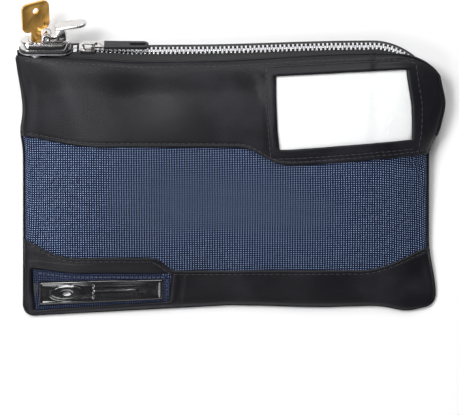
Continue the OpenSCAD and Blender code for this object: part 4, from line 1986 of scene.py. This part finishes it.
@dataclass
class Studio:
    """Pale floor, soft lights and the camera over the bag."""

    view_width: float = 0.2907
    aim_y: float = -0.0155
    focus_z: float = 0.006
    lens: float = 220.0
    sensor: float = 36.0
    clip: tuple = (0.05, 20)
    floor_size: float = 3
    paper: float = 0.93
    sky_strength: float = 0.9
    sky_bands: tuple = (
        (0.0, 1.0), (0.18, 0.9), (0.26, 0.03), (0.58, 0.03), (0.66, 0.5), (0.76, 0.08), (1.0, 0.12),
    )

    def camera(self) -> None:
        """Puts the camera straight over the bag, with a long lens."""
        data = bpy.data.cameras.new("camera")
        data.lens = self.lens
        data.sensor_width = self.sensor
        data.clip_start, data.clip_end = self.clip
        away = self.view_width * self.lens / self.sensor
        camera = placed("camera", data)
        camera.location = (0, self.aim_y, self.focus_z + away)
        bpy.context.scene.camera = camera

    def light(self, name: str, place: tuple, aim: tuple, size: float, power: float) -> None:
        """Adds one square area light aimed at a point.

        Args:
            name: its name.
            place: where it stands.
            aim: the point that it faces.
            size: its side.
            power: its power in watts.
        """
        data = bpy.data.lights.new(name, "AREA")
        data.size = size
        data.energy = power
        lamp = placed(name, data)
        lamp.location = place
        lamp.rotation_euler = (Vector(aim) - Vector(place)).to_track_quat("-Z", "Y").to_euler()

    def build(self) -> None:
        """Makes the floor, the world and the lights."""
        bm = bmesh.new()
        bmesh.ops.create_grid(bm, x_segments=1, y_segments=1, size=self.floor_size)
        floor = placed("floor", as_mesh("floor", bm))
        paint = Shade("floor").surface(Base_Color=(self.paper, self.paper, self.paper), Roughness=0.9)
        floor.data.materials.append(paint)
        bpy.context.scene.view_settings.view_transform = "Standard"
        bpy.context.scene.world = self.sky()
        self.light("key_light", (-0.60, 0.40, 1.05), (-0.03, 0.02, 0), 0.55, 11.5)
        self.light("fill_light", (-0.75, -0.95, 1.05), (0, 0, 0), 0.9, 9.5)
        self.light("top_light", (0.3, 1.9, 1.5), (0, 0, 0), 1.4, 32)

    def sky(self) -> bpy.types.World:
        """A world of grey bands by height, so that metal has something to mirror.

        Returns:
            The world.
        """
        world = bpy.data.worlds.new("studio")
        world.use_nodes = True
        nodes = Nodes(world.node_tree)
        upward = nodes.axes(nodes.node("ShaderNodeTexCoord", {}, {}, "Generated"))[2]
        stops = [(place, (level, level, level * 1.03)) for place, level in self.sky_bands]
        bands = nodes.node("ShaderNodeValToRGB", {"stops": stops}, {0: upward})
        background = world.node_tree.nodes["Background"]
        nodes.feed(background.inputs["Color"], bands)
        nodes.feed(background.inputs["Strength"], self.sky_strength)
        return world


def main() -> None:
    """Builds the whole bag and its studio."""
    logging.basicConfig(level=logging.INFO, format="%(message)s")
    studio = Studio()
    studio.camera()
    form = BagForm()
    form.settle()
    for assembly in (BagBody(form), LabelWindow(form), Badge(form), Zip(form), SliderAndPull(), Lock()):
        assembly.build()
    studio.build()


if __name__ == "__main__":
    main()
